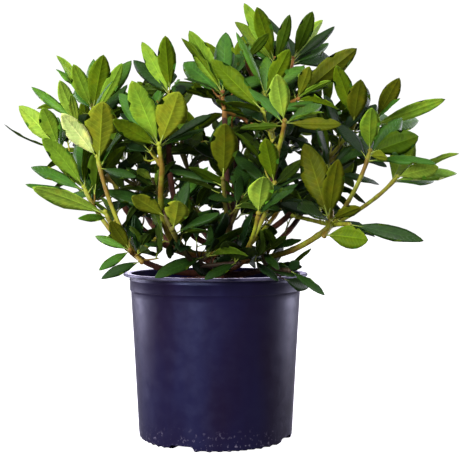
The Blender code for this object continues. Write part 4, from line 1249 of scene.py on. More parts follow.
def turned(profile, sides):
    """Points and faces of a closed body turned round Z from (radius, height) pairs that end on the axis."""
    points = []
    rings = []
    for radius, height in profile:
        if radius == 0.0:
            rings.append([len(points)])
            points.append(Vector((0.0, 0.0, height)))
            continue
        rings.append(list(range(len(points), len(points) + sides)))
        for side in range(sides):
            turn = math.tau * side / sides
            points.append(Vector((radius * math.cos(turn), radius * math.sin(turn), height)))
    faces = []
    for lower, upper in zip(rings, rings[1:]):
        for side in range(sides):
            after = (side + 1) % sides
            if len(lower) == 1:
                faces.append((lower[0], upper[side], upper[after]))
            elif len(upper) == 1:
                faces.append((lower[side], lower[after], upper[0]))
            else:
                faces.append((lower[side], lower[after], upper[after], upper[side]))
    return points, faces


def arc(radius, height, size, first, last, steps=5):
    """(radius, height) pairs on a rounding of a given size, from one angle to another in degrees."""
    pairs = []
    for step in range(steps + 1):
        angle = math.radians(first + (last - first) * step / steps)
        pairs.append((radius + size * math.cos(angle), height + size * math.sin(angle)))
    return pairs


def wall_radius(height):
    """The pot's outside radius at a height below its step."""
    return POT_BASE_RADIUS + (POT_BODY_RADIUS - POT_BASE_RADIUS) * height / POT_STEP_HEIGHT


def pot_profile():
    """The pot's half section: foot, wall, step, collar with its line, rolled rim, inside and floor."""
    foot = 0.0036
    bead = RIM_DEPTH / 2.0
    collar_foot = POT_STEP_HEIGHT + 0.0024
    line = POT_HEIGHT - 0.0095
    inside = COLLAR_RADIUS - POT_WALL
    wall_levels = [0.012, 0.04, 0.08, 0.12, 0.16, 0.2, 0.212]
    profile = [(0.0, 0.0), (0.07, 0.0), (POT_BASE_RADIUS - 0.012, 0.0)]
    profile += arc(POT_BASE_RADIUS - foot, foot, foot, -90.0, 0.0)
    profile += [(wall_radius(level), level) for level in wall_levels]
    profile += [(POT_BODY_RADIUS - 0.0001, POT_STEP_HEIGHT - 0.0012),
                (POT_BODY_RADIUS + 0.0003, POT_STEP_HEIGHT)]
    profile += arc(COLLAR_RADIUS - 0.0011, collar_foot + 0.0006, 0.0011, -75.0, 0.0, 3)
    profile += [(COLLAR_RADIUS, line - 0.0016), (COLLAR_RADIUS + 0.0007, line - 0.0006),
                (COLLAR_RADIUS + 0.0007, line + 0.0006), (COLLAR_RADIUS, line + 0.0016),
                (COLLAR_RADIUS + 0.0002, POT_HEIGHT - RIM_DEPTH - 0.0014)]
    profile += [(COLLAR_RADIUS + 0.0022, POT_HEIGHT - RIM_DEPTH - 0.0002)]
    profile += arc(RIM_RADIUS - bead, POT_HEIGHT - bead, bead, -85.0, 90.0, 9)
    profile += arc(inside + 0.0016, POT_HEIGHT - 0.0016, 0.0016, 90.0, 180.0, 4)
    profile += [(inside, POT_STEP_HEIGHT + 0.0022)]
    profile += [(wall_radius(level) - POT_WALL, level) for level in (POT_STEP_HEIGHT, 0.11, POT_FLOOR)]
    return profile + [(0.0, POT_FLOOR)]


def notch_cutter(number):
    """A rounded block that cuts one drain notch out of the foot."""
    half = NOTCH_WIDTH / 2.0
    section = [(-half, -0.002), (half, -0.002)]
    for centre, first in ((half - NOTCH_CORNER, 0.0), (NOTCH_CORNER - half, 90.0)):
        section += arc(centre, NOTCH_HEIGHT - NOTCH_CORNER, NOTCH_CORNER, first, first + 90.0, 4)
    reach = (POT_BASE_RADIUS - DRAIN_SLOT, POT_BASE_RADIUS + 0.006)
    rings = [[Vector((along, across, up)) for across, up in section] for along in reach]
    mesh = mesh_from("notch", *body_from_rings(rings))
    mesh.transform(Matrix.Rotation(NOTCH_FIRST_AZIMUTH + number * math.tau / NOTCH_COUNT, 4, "Z"))
    return mesh


def cut_by(thing, meshes):
    """Cut meshes out of a piece."""
    cutters = variant_collection("cutters", meshes)
    step = thing.modifiers.new("cut", "BOOLEAN")
    step.operation = "DIFFERENCE"
    step.solver = "EXACT"
    step.operand_type = "COLLECTION"
    step.collection = cutters
    finish_step(thing, step)
    drop_collection(cutters)


def plastic_material(settings):
    """Dark moulded plastic: soft gloss, faint rubs, a pale painted highlight along the lip, dried splashes
    toward the foot.
    """
    gloss = settings.gloss_roughness
    material, tree, surface = new_material("pot_plastic", gloss, 0.35)
    place = object_place(tree)
    broad = ramp(tree, object_noise(tree, 14.0, 3.0, (1.0, 1.0, 0.3)), 0.35, 0.7)
    tone = mixed(tree, broad, settings.plastic_worn, settings.plastic)
    specks = ramp(tree, object_noise(tree, 200.0, 5.0), 0.59, 0.70)
    splashed = product(tree, ramp(tree, height_of(tree, place), 0.036, 0.0), specks)
    dusty = mixed(tree, splashed, tone, settings.dust)
    flat = add_node(tree, "ShaderNodeVectorMath", {0: place, 1: (1.0, 1.0, 0.0)}, operation="MULTIPLY")
    reach = add_node(tree, "ShaderNodeVectorMath", {0: flat.outputs["Vector"]}, operation="LENGTH")
    # painted highlight: a pale, patchy band round the outermost edge of the rim's bead
    lip_highlight_band = ramp(tree, reach.outputs["Value"], RIM_RADIUS - 0.0014, RIM_RADIUS - 0.0005)
    patchy = ramp(tree, object_noise(tree, 24.0, 3.0), 0.3, 0.7)
    waves = bumped(tree, object_noise(tree, 16.0, 2.0), 0.25, 0.004)
    uneven = ramp(tree, object_noise(tree, 60.0, 6.0), 0.4, 0.8)
    tell(tree, surface, {
        "Specular Tint": (0.5, 0.58, 1.0, 1.0), "Sheen Weight": settings.bloom, "Sheen Roughness": 0.2,
        "Sheen Tint": (0.8, 0.76, 1.0, 1.0),
        "Roughness": ramp(tree, uneven, 0.0, 1.0, gloss, gloss + 0.18),
    })
    return finished(material, surface, mixed(tree, product(tree, lip_highlight_band, patchy), dusty, settings.lip_highlight),
                    bumped(tree, object_noise(tree, 700.0, 3.0), 0.1, 0.0003, waves))


def inside_shade_material(settings):
    """The dark, dull plastic inside the pot and in its holes: painted shade, with almost no gloss."""
    material, tree, surface = new_material("pot_inside", 0.7, 0.02)
    tone = settings.inside_shade
    return finished(material, surface, mixed(tree, ramp(tree, object_noise(tree, 60.0), 0.35, 0.7), tone,
                                             darker(tone, 0.5)))


def is_inside(centre):
    """Whether a face of the pot lies on its inside wall or within a drain notch."""
    radius = math.hypot(centre.x, centre.y)
    in_notch = 0.0002 < centre.z < NOTCH_HEIGHT + 0.0002 and radius < POT_BASE_RADIUS - 0.0008
    above_step = centre.z > POT_STEP_HEIGHT + 0.003
    wall = COLLAR_RADIUS if above_step else min(wall_radius(centre.z), POT_BODY_RADIUS)
    return in_notch or POT_FLOOR < centre.z < POT_HEIGHT - 0.0012 and radius < wall - POT_WALL * 0.4


class SHRUB_OT_make_pot(bpy.types.Operator):
    """Turn the nursery pot, cut its drain notches and give it its plastic."""
    bl_idname = "shrub.make_pot"
    bl_label = "Make the pot"

    def execute(self, context):
        settings = context.scene.shrub_pot
        points, faces = turned(pot_profile(), POT_TURN_SIDES)
        for point in points:
            if point.z < 0.03 and math.hypot(point.x, point.y) > POT_BASE_RADIUS - 0.004:
                turn = math.atan2(point.y, point.x)
                ripple = abs(math.sin(turn * FOOT_RIPPLES + 1.3 * math.sin(turn * 5.0)))
                fade = max(0.0, 1.0 - point.z / FOOT_RIPPLE_REACH)
                point.z += settings.foot_ripple * ripple * fade
        pot = new_piece("nursery_pot", mesh_from("nursery_pot", points, faces))
        cut_by(pot, [notch_cutter(number) for number in range(NOTCH_COUNT)])
        pot.data.materials.clear()
        pot.data.materials.append(plastic_material(settings))
        pot.data.materials.append(inside_shade_material(settings))
        for face in pot.data.polygons:
            face.use_smooth = True
            # faces on the inside wall and within the notches take the painted-shade material
            face.material_index = int(is_inside(face.center))
        pot.data.set_sharp_from_angle(angle=POT_SHARP_ANGLE)
        stand_in(pot, "pot")
        return {"FINISHED"}


def mix_height(radius):
    """The bark mix's height at a distance from the middle."""
    edge = wall_radius(SOIL_EDGE_HEIGHT) - POT_WALL
    if radius < SOIL_FLAT_RADIUS:
        return SOIL_CROWN_HEIGHT
    part = (radius - SOIL_FLAT_RADIUS) / (edge - SOIL_FLAT_RADIUS)
    return SOIL_CROWN_HEIGHT + (SOIL_EDGE_HEIGHT - SOIL_CROWN_HEIGHT) * min(part, 1.0)


def mix_body():
    """Points and faces of the mix: a lumpy top on a plain plug."""
    edge = wall_radius(SOIL_EDGE_HEIGHT) - POT_WALL - MIX_CLEARANCE
    reaches = [edge * step / MIX_RINGS for step in range(1, MIX_RINGS + 1)]
    profile = [(0.0, SOIL_CROWN_HEIGHT)] + [(reach, mix_height(reach)) for reach in reaches]
    profile += [(wall_radius(MIX_BOTTOM) - POT_WALL - MIX_CLEARANCE, MIX_BOTTOM), (0.0, MIX_BOTTOM)]
    points, faces = turned(profile, MIX_SIDES)
    for point in points:
        radius = math.hypot(point.x, point.y)
        if point.z > 0.1 and radius < edge - 0.001:
            point.z += sum(height * noise.noise(point * grain) for height, grain in MIX_LUMPS) - MIX_SINK
    return points, faces


def chip_mesh(number):
    """One bark chip of unit length: a thin uneven splinter."""
    chance = random.Random(CHIP_SEED + number)
    rings = []
    for step in range(4):
        along = step / 3.0 - 0.5
        wide = (0.20 + 0.12 * chance.random()) * (0.55 if step in (0, 3) else 1.0)
        thick = 0.06 + 0.05 * chance.random()
        shift = chance.uniform(-0.04, 0.04)
        rings.append([Vector((along + chance.uniform(-0.05, 0.05), shift + side * wide, up * thick))
                      for side, up in ((-1, -1), (1, -1), (1, 1), (-1, 1))])
    return mesh_from("chip", *body_from_rings(rings), smooth=False)


def variant_collection(name, meshes):
    """A collection holding one object for each mesh."""
    group = bpy.data.collections.new(name)
    bpy.context.scene.collection.children.link(group)
    for number, mesh in enumerate(meshes):
        group.objects.link(bpy.data.objects.new(f"{name}_{number:02d}", mesh))
    return group


def drop_collection(group):
    """Remove a collection and its objects."""
    for used in list(group.objects):
        bpy.data.objects.remove(used, do_unlink=True)
    bpy.data.collections.remove(group)


def copies_on(tree, points, shapes, inputs):
    """A shape of a collection set on each point."""
    held = add_node(tree, "GeometryNodeCollectionInfo", {
        "Separate Children": True, "Reset Children": True, "Collection": shapes,
    })
    return add_node(tree, "GeometryNodeInstanceOnPoints", {
        "Pick Instance": True, "Points": points, "Instance": held.outputs["Instances"], **inputs,
    }).outputs["Instances"]


def realized(tree, flow):
    """Instances made into plain geometry."""
    return add_node(tree, "GeometryNodeRealizeInstances", {"Geometry": flow}).outputs["Geometry"]


def chip_nodes(kinds):
    """Geometry Nodes that strew chips over a surface, realize them and deal out the chip materials."""
    tree, given, made = new_nodes("strewn_chips", [
        ("Shapes", "NodeSocketCollection", None), ("Density", "NodeSocketFloat", 10000.0),
        ("Chip size", "NodeSocketFloat", 0.013), ("Seed", "NodeSocketInt", 7),
        *((kind, "NodeSocketMaterial", None) for kind in kinds),
    ])
    strew = add_node(tree, "GeometryNodeDistributePointsOnFaces", {
        "Mesh": given["Geometry"], "Density": given["Density"], "Seed": given["Seed"],
    })
    dealt = "FunctionNodeRandomValue"
    ends = {0: (-CHIP_TILT, -CHIP_TILT, 0.0), 1: (CHIP_TILT, CHIP_TILT, math.tau)}
    tilt = add_node(tree, dealt, ends, data_type="FLOAT_VECTOR")
    size = add_node(tree, dealt, {2: CHIP_SIZES[0], 3: CHIP_SIZES[1]}, data_type="FLOAT")
    copies = copies_on(tree, strew.outputs["Points"], given["Shapes"], {
        "Rotation": tilt.outputs[0], "Scale": product(tree, size.outputs[1], given["Chip size"]),
    })
    pick = add_node(tree, dealt, {4: 0, 5: len(kinds) - 1}, data_type="INT")
    kept = add_node(tree, "GeometryNodeStoreNamedAttribute", {
        "Name": "kind", "Geometry": copies, "Value": pick.outputs[2],
    }, data_type="INT", domain="INSTANCE")
    flow = realized(tree, kept.outputs["Geometry"])
    for number, kind in enumerate(kinds):
        flow = painted(tree, flow, given[kind], [is_number(tree, named(tree, "kind", "INT"), number)])
    tree.links.new(flow, made)
    return tree


def painted(tree, flow, material, tests):
    """Set a material on the faces that pass every test."""
    chosen = tests[0]
    for test in tests[1:]:
        both = add_node(tree, "FunctionNodeBooleanMath", {0: chosen, 1: test}, operation="AND")
        chosen = both.outputs["Boolean"]
    return add_node(tree, "GeometryNodeSetMaterial", {
        "Geometry": flow, "Material": material, "Selection": chosen,
    }).outputs["Geometry"]


def chip_material(name, tone):
    """Rough dry or damp bark."""
    material, tree, surface = new_material(name, 0.85, 0.3)
    mottle = ramp(tree, object_noise(tree, 240.0, 6.0), 0.35, 0.7)
    return finished(material, surface, mixed(tree, mottle, tone, darker(tone, 0.55)),
                    bumped(tree, object_noise(tree, 500.0, 6.0), 0.6, 0.001))


class SHRUB_OT_make_mix(bpy.types.Operator):
    """Fill the pot with lumpy bark mix and strew loose chips on it."""
    bl_idname = "shrub.make_mix"
    bl_label = "Make the bark mix"

    def execute(self, context):
        settings = context.scene.shrub_mix
        bed = new_piece("bark_mix", mesh_from("bark_mix", *mix_body()))
        bed.data.materials.append(chip_material("mix_dark", settings.dark))
        levels = [(radius, mix_height(radius)) for radius in (0.0, 0.03, 0.06, 0.09, STREWN_RADIUS)]
        chips = new_piece("bark_chips", facing_up(mesh_from("bark_chips", *turned(levels, 48))))
        shapes = variant_collection("chip_shape", [chip_mesh(number) for number in range(CHIP_SHAPES)])
        kinds = {
            "Red": chip_material("chips_red", settings.red),
            "Pale": chip_material("chips_pale", settings.pale),
            "Brown": chip_material("chips_brown", darker(settings.red, 0.4)),
            "Dark": chip_material("chips_dark", settings.dark),
        }
        area = math.pi * STREWN_RADIUS ** 2
        apply_nodes(chips, chip_nodes(list(kinds)), {
            "Shapes": shapes, "Density": settings.chips / area, "Chip size": settings.chip_size, **kinds,
        })
        drop_attributes(chips.data, ["kind"])
        drop_collection(shapes)
        stand_in(bed, "potting_mix")
        stand_in(chips, "potting_mix")
        return {"FINISHED"}


# ---------------------------------------------------------------- wood


def stem_nodes():
    """Geometry Nodes that turn lines with radii into stems with the bark's relief."""
    tree, given, made = new_nodes("grown_stems", [
        ("Sides", "NodeSocketInt", 10), ("Relief", "NodeSocketFloat", 0.0006),
        ("Grain", "NodeSocketFloat", 160.0), ("Bark", "NodeSocketMaterial", None),
    ])

    def step(kind, output, inputs):
        """The output of one more node."""
        return add_node(tree, kind, inputs).outputs[output]

    girth = named(tree, "girth", "FLOAT")
    lines = step("GeometryNodeMeshToCurve", "Curve", {"Mesh": given["Geometry"]})
    thick = step("GeometryNodeSetCurveRadius", "Curve", {"Curve": lines, "Radius": girth})
    ring = add_node(tree, "GeometryNodeCurvePrimitiveCircle", {"Radius": 1.0, "Resolution": given["Sides"]},
                    mode="RADIUS")
    body = add_node(tree, "GeometryNodeCurveToMesh", {
        "Fill Caps": True, "Curve": thick, "Profile Curve": ring.outputs["Curve"],
    })
    if "Scale" in body.inputs:
        tree.links.new(girth, body.inputs["Scale"])
    place = step("GeometryNodeInputPosition", "Position", {})
    grain = step("ShaderNodeTexNoise", "Fac", {"Detail": 3.0, "Vector": place, "Scale": given["Grain"]})
    rise = sum_of(tree, "MULTIPLY", sum_of(tree, "SUBTRACT", grain, 0.5), given["Relief"])
    normal = step("GeometryNodeInputNormal", "Normal", {})
    push = add_node(tree, "ShaderNodeVectorMath", {0: normal, "Scale": rise}, operation="SCALE")
    moved = step("GeometryNodeSetPosition", "Geometry", {
        "Geometry": body.outputs["Mesh"], "Offset": push.outputs["Vector"],
    })
    smooth = step("GeometryNodeSetShadeSmooth", "Geometry", {"Geometry": moved})
    skin = {"Geometry": realized(tree, smooth), "Material": given["Bark"]}
    tree.links.new(step("GeometryNodeSetMaterial", "Geometry", skin), made)
    return tree


def line_mesh(name, stems):
    """A mesh of open lines with each point's stem radius, from (path, radii) pairs."""
    points = []
    edges = []
    girths = []
    for path, radii in stems:
        first = len(points)
        points += [tuple(point) for point in path]
        girths += radii
        edges += [(first + step, first + step + 1) for step in range(len(path) - 1)]
    mesh = bpy.data.meshes.new(name)
    mesh.from_pydata(points, edges, [])
    held = mesh.attributes.new("girth", "FLOAT", "POINT")
    held.data.foreach_set("value", girths)
    return mesh


def stem_radii(count, ends, form, chance):
    """A stem's radii: tapered, with a collar, a swelling under the rosette and knuckles of old leaves."""
    slim, collar, fade, whorl, knuckle, knuckles, sharpness = form
    phase = chance.uniform(0.0, 1.0)
    radii = []
    for step in range(count):
        along = step / (count - 1)
        wave = max(0.0, math.cos((along * knuckles + phase) * math.tau)) ** sharpness
        radii.append((ends[0] + (ends[1] - ends[0]) * along) * slim + collar * math.exp(-along * fade)
                     + whorl * math.exp(-((along - WHORL_PLACE) / WHORL_SPREAD) ** 2) + knuckle * wave)
    return radii


def bough_stem(plan, chance):
    """A bough's fine line and radii, its start sunk in the trunk."""
    path = bough_path(plan["name"], plan["start"], 44)
    inward = (path[0] - path[1]).normalized()
    path = [path[0] + inward * 0.006, path[0] + inward * 0.002] + path
    return path, stem_radii(len(path), BOUGH_RADII, BOUGH_FORM, chance)


def twig_stem(plan, shoot, chance):
    """A twig's fine line and radii: from inside the fork up to its bud, swollen under the rosette."""
    path = twig_path(plan["stub"][1], plan["way"], shoot["place"], 26)
    path = [plan["bough"][-1] - plan["way"] * 0.002] + path
    radii = stem_radii(len(path), TWIG_RADII, TWIG_FORM, chance)
    radii[-1] *= 0.75
    way = (path[-1] - path[-2]).normalized()
    path += [path[-1] + way * (BUD_LENGTH * part) for part, _ in BUD_FORM]
    radii += [TWIG_RADII[1] * girth for _, girth in BUD_FORM]
    return path, radii


def bark_materials(settings):
    """The bark of each age."""
    made = {age: bpy.data.materials.get("bark_" + age) for age in ("old", "turning", "young", "shade")}
    if not all(made.values()):
        feet = (settings.old, settings.old, settings.turning_dark, settings.old_dark)
        for age, foot, roughness in zip(made, feet, (0.8, 0.66, 0.55, 0.6)):
            tones = getattr(settings, age), getattr(settings, age + "_dark")
            made[age] = bark_material(age, *tones, foot, roughness)
    return made


def stem_piece(name, stems, skin, bark, node):
    """A piece of stems grown by the stem nodes, standing for a node of the frame."""
    piece = new_piece(name, line_mesh(name, stems))
    tree = bpy.data.node_groups.get("grown_stems") or stem_nodes()
    apply_nodes(piece, tree, {**dict(zip(("Sides", "Relief", "Grain"), skin)), "Bark": bark})
    drop_attributes(piece.data, ["girth"])
    stand_in(piece, node)


class SHRUB_OT_make_trunk(bpy.types.Operator):
    """Build the short trunk with its root flare and the bark's relief."""
    bl_idname = "shrub.make_trunk"
    bl_label = "Make the trunk"

    def execute(self, context):
        settings = context.scene.shrub_wood
        around, upward = BARK_RIDGES
        top = TRUNK_PATH[-1][2]
        rings = []
        for level in range(TRUNK_FINE_LEVELS + 1):
            height = -0.006 + (top + 0.005) * level / TRUNK_FINE_LEVELS
            centre, radius = trunk_point(max(height, 0.0))
            centre.z = SOIL_CROWN_HEIGHT + SEAT_GAP + height
            flare = math.exp(-max(height, 0.0) / ROOT_FLARE_FADE)
            ring = []
            for side in range(TRUNK_FINE_SIDES):
                turn = math.tau * side / TRUNK_FINE_SIDES
                lobe = 1.0 + ROOT_FLARE_DEPTH * math.cos(ROOT_FLARE_LOBES * turn) * flare
                out = Vector((math.cos(turn), math.sin(turn), 0.0))
                spot = centre + out * radius * lobe * TRUNK_SLIM
                ridges = noise.noise(Vector((*(out.xy * around), height * upward)))
                crumbs = noise.noise(spot * BARK_CRUMBS)
                ring.append(spot + out * settings.relief * (ridges + 0.5 * crumbs))
            rings.append(ring)
        tip = Vector(TRUNK_PATH[-1]) + Vector((0.001, 0.0, SOIL_CROWN_HEIGHT + 0.003))
        trunk = new_piece("bark_trunk", mesh_from("bark_trunk", *body_from_rings(rings, tip)))
        trunk.data.materials.append(bark_materials(settings)["old"])
        stand_in(trunk, "trunk")
        return {"FINISHED"}


class SHRUB_OT_make_boughs(bpy.types.Operator):
    """Grow each bough from the trunk to its fork."""
    bl_idname = "shrub.make_boughs"
    bl_label = "Make the boughs"

    def execute(self, context):
        barks = bark_materials(context.scene.shrub_wood)
        for number, plan in enumerate(crown_plan()):
            name = plan["name"]
            stems = [bough_stem(plan, random.Random(BOUGH_SEED + number))]
            stem_piece("limb_" + name, stems, BOUGH_SKIN, barks[GROUPS[name]["ages"][0]], "bough_" + name)
        return {"FINISHED"}


class SHRUB_OT_make_twigs(bpy.types.Operator):
    """Grow each group's twigs from its fork to its rosettes."""
    bl_idname = "shrub.make_twigs"
    bl_label = "Make the twigs"

    def execute(self, context):
        barks = bark_materials(context.scene.shrub_wood)
        for number, plan in enumerate(crown_plan()):
            name = plan["name"]
            chance = random.Random(TWIG_SEED + number)
            stems = [twig_stem(plan, shoot, chance) for shoot in plan["shoots"]]
            stems += [(path, tapered(SIDE_RADII, len(path) - 1)) for path in plan["sides"]]
            stem_piece("twigs_" + name, stems, TWIG_SKIN, barks[GROUPS[name]["ages"][1]], "leaves_" + name)
        return {"FINISHED"}


# ---------------------------------------------------------------- leaves and buds


def blade_half_width(along):
    """A blade's half width, as a share of its greatest, from its foot at 0 to its tip at 1."""
    if not 0.0 < along < 1.0:
        return 0.0
    turn = math.pi * along ** BLADE_WIDEST
    return math.sin(turn) ** (BLADE_FOOT_ROUNDNESS if turn < math.pi / 2.0 else BLADE_TIP_ROUNDNESS)


def blade_mesh(number):
    """One leaf of unit length along X, its upper face up: blade, midrib and stalk, faces marked by side."""
    chance = random.Random(BLADE_SEED + number)
    fold = math.radians(chance.uniform(*(FLAT_FOLD if number < FLAT_SHAPES else CUPPED_FOLD)))
    twist = math.radians(chance.uniform(-BLADE_TWIST, BLADE_TWIST))
    bend = chance.uniform(-BLADE_BEND, BLADE_BEND)
    droop = chance.uniform(*BLADE_DROOP)
    waves, bays = ([[chance.uniform(*ends) for ends in (size, count, (0.0, 6.28))] for _ in range(2)]
                   for size, count in ((WAVE_HEIGHT, WAVE_COUNT), (BAY_DEPTH, BAY_COUNT)))
    curl = chance.uniform(*EDGE_CURL)
    width = LEAF_WIDTH * chance.uniform(*BLADE_BREADTH)

    def spot(along, side, lift):
        """A point of the blade at a share of its length and half width, lifted off its middle surface."""
        stretch = PETIOLE_SHARE + (1.0 - PETIOLE_SHARE) * along
        half = 0.5 * width * blade_half_width(along)
        depth, count, phase = bays[0 if side > 0.0 else 1]
        bay = 1.0 + depth * math.sin(count * math.tau * along + phase)
        across = side * half * math.cos(fold) * bay
        size, count, phase = waves[0 if side > 0.0 else 1]
        wave = math.sin(count * math.tau * along + phase)
        ripple = size * side * side * wave * min(1.0, 3.0 * along)
        up = abs(side) * half * math.sin(fold) - curl * half * side ** 4
        up += ripple * (half / (0.5 * width)) + lift
        turn = twist * along
        middle = LEAF_ARCH * 4.0 * stretch * (1.0 - stretch) - droop * max(0.0, along - 0.6) ** 2 * 4.0
        return Vector((
            stretch,
            across * math.cos(turn) - up * math.sin(turn) + bend * stretch * (1.0 - stretch) * 2.0,
            middle + across * math.sin(turn) + up * math.cos(turn),
        ))

    points = []
    faces = []
    sides = []
    places = []
    rim = {}
    skins = ((1.0, UPPER_COLUMNS, UPPER_FACE, []), (-1.0, UNDER_COLUMNS, UNDER_FACE, []))
    for row, along in enumerate(BLADE_ROWS):
        half = max(0.5 * width * blade_half_width(along), 1e-6)
        rib = min(0.8, RIB_HALF_WIDTH * (1.0 - 0.7 * along) / half)
        ends = row in (0, len(BLADE_ROWS) - 1)
        for part, columns, _, rows in skins:
            rows.append([])
            for column in columns:
                side = 0.0 if ends else math.copysign(rib, column) if abs(column) == 0.5 else column
                shared = ends or abs(side) == 1.0
                if not shared or (row, side) not in rim:
                    lift = 0.0 if ends else part * BLADE_THICKNESS / 2.0 * (1.0 - side * side)
                    if side == 0.0 and not ends:
                        lift -= RIB_GROOVE if part > 0.0 else RIB_RISE * (1.0 - 0.6 * along)
                    rim[row, side] = len(points)
                    points.append(spot(along, side, lift))
                    places.append((0.5 + 0.5 * side, along))
                rows[-1].append(rim[row, side])
    for part, _, mark, rows in skins:
        for low, high in zip(rows, rows[1:]):
            for column in range(len(low) - 1):
                corners = [low[column], low[column + 1], high[column + 1], high[column]]
                corners = tuple(dict.fromkeys(corners if part > 0.0 else reversed(corners)))
                if len(corners) > 2:
                    faces.append(corners)
                    sides.append(mark)
    stalk_points, stalk_faces = stalk_body(spot)
    faces += [tuple(len(points) + corner for corner in face) for face in stalk_faces]
    sides += [STALK_FACE] * len(stalk_faces)
    points += stalk_points
    places += [(0.5, 0.0)] * len(stalk_points)
    return marked_mesh(f"blade_{number:02d}", points, faces, sides, places)


def stalk_body(spot):
    """A leaf stalk from the twig to a little way up the underside of the blade."""
    foot = spot(0.0, 0.0, 0.0)
    end = spot(0.14, 0.0, -0.5 * BLADE_THICKNESS)
    path = [Vector((0.0, 0.0, 0.0)), foot * 0.5 + Vector((0.0, 0.0, 0.002)), foot, end]
    return body_from_rings(tube_rings(path, [PETIOLE_RADIUS * part for part in (1.3, 1.0, 0.95, 0.55)], 5))


def marked_mesh(name, points, faces, sides, places):
    """A smooth mesh whose faces carry their side and whose corners carry their place on the leaf."""
    mesh = bpy.data.meshes.new(name)
    mesh.from_pydata([tuple(point) for point in points], [], faces)
    mesh.update()
    held = mesh.attributes.new("side", "INT", "FACE")
    held.data.foreach_set("value", sides)
    layer = mesh.uv_layers.new(name="UVMap")
    for loop in mesh.loops:
        layer.data[loop.index].uv = places[loop.vertex_index]
    for face in mesh.polygons:
        face.use_smooth = True
    return mesh


def leaf_nodes():
    """Geometry Nodes that set a blade at every point, realize them and give each face its tint."""
    sides = (("Upper ", UPPER_FACE), ("Under ", UNDER_FACE))
    tree, given, made = new_nodes("grown_leaves", [
        ("Blades", "NodeSocketCollection", None), ("Size", "NodeSocketFloat", 1.0),
        ("Stalk", "NodeSocketMaterial", None),
        *((side + tint, "NodeSocketMaterial", None) for tint in TINTS for side, _ in sides),
    ])
    turn = add_node(tree, "FunctionNodeEulerToRotation", {"Euler": named(tree, "turn", "FLOAT_VECTOR")})
    stretch = named(tree, "stretch", "FLOAT_VECTOR")
    sized = add_node(tree, "ShaderNodeVectorMath", {0: stretch, "Scale": given["Size"]}, operation="SCALE")
    copies = copies_on(tree, given["Geometry"], given["Blades"], {
        "Instance Index": named(tree, "shape", "INT"), "Rotation": turn.outputs["Rotation"],
        "Scale": sized.outputs["Vector"],
    })
    flow = realized(tree, copies)
    face = named(tree, "side", "INT")
    dye = named(tree, "tint", "INT")
    flow = painted(tree, flow, given["Stalk"], [is_number(tree, face, STALK_FACE)])
    for number, tint in enumerate(TINTS):
        own = is_number(tree, dye, number)
        for side, mark in sides:
            flow = painted(tree, flow, given[side + tint], [is_number(tree, face, mark), own])
    tree.links.new(flow, made)
    return tree


def point_mesh(name, spots):
    """A mesh of loose points that carry how the blade on each is turned, stretched, chosen and tinted."""
    mesh = bpy.data.meshes.new(name)
    mesh.from_pydata([tuple(spot["root"]) for spot in spots], [], [])
    for key, kind, field in (("turn", "FLOAT_VECTOR", "vector"), ("stretch", "FLOAT_VECTOR", "vector"),
                             ("shape", "INT", "value"), ("tint", "INT", "value")):
        held = mesh.attributes.new(key, kind, "POINT")
        values = [spot[key] for spot in spots]
        if field == "vector":
            values = [part for value in values for part in value]
        held.data.foreach_set(field, values)
    return mesh


def turned_to(way, upper):
    """The Euler turn that lays X along a way with Z toward a face direction."""
    _, face = leaf_frame(way, upper)
    return Matrix((way, face.cross(way), face)).transposed().to_euler("XYZ")


def leaf_spots(plan, chance):
    """Where each kept leaf of a group stands, and how."""
    spots = []
    for root, way, upper, size, tint, broad, stage in plan["kept"]:
        broad *= chance.uniform(0.94, 1.04)
        spots.append({
            "root": root,
            "turn": turned_to(way, upper),
            "stretch": (size, size * broad, size),
            "shape": chance.randrange(FLAT_SHAPES if stage == "leads" else BLADE_SHAPES),
            "tint": TINTS.index(tint),
        })
    return spots


class SHRUB_OT_make_leaves(bpy.types.Operator):
    """Set every leaf on its twig, in the tint of its spray."""
    bl_idname = "shrub.make_leaves"
    bl_label = "Make the leaves"

    def execute(self, context):
        settings = context.scene.shrub_leaves
        blades = variant_collection("blade", [blade_mesh(number) for number in range(BLADE_SHAPES)])
        values = {"Blades": blades, "Size": 1.0, "Stalk": stalk_material(settings)}
        for tint in TINTS:
            for side, vein_share, gloss in (("upper_", 0.4, 0.14), ("under_", 0.42, 0.08)):
                tone, rough = getattr(settings, side + tint), getattr(settings, side + "roughness")
                made = leaf_material("leaf_" + side + tint, tone, rough, vein_share, gloss)
                values[side.capitalize().replace("_", " ") + tint] = made
        tree = leaf_nodes()
        for number, plan in enumerate(crown_plan()):
            name = "foliage_" + plan["name"]
            piece = new_piece(name, point_mesh(name, leaf_spots(plan, random.Random(LEAF_SEED + number))))
            apply_nodes(piece, tree, values)
            drop_attributes(piece.data, ["turn", "stretch", "shape", "tint", "side"])
            stand_in(piece, "leaves_" + plan["name"])
        drop_collection(blades)
        return {"FINISHED"}


# ---------------------------------------------------------------- stage


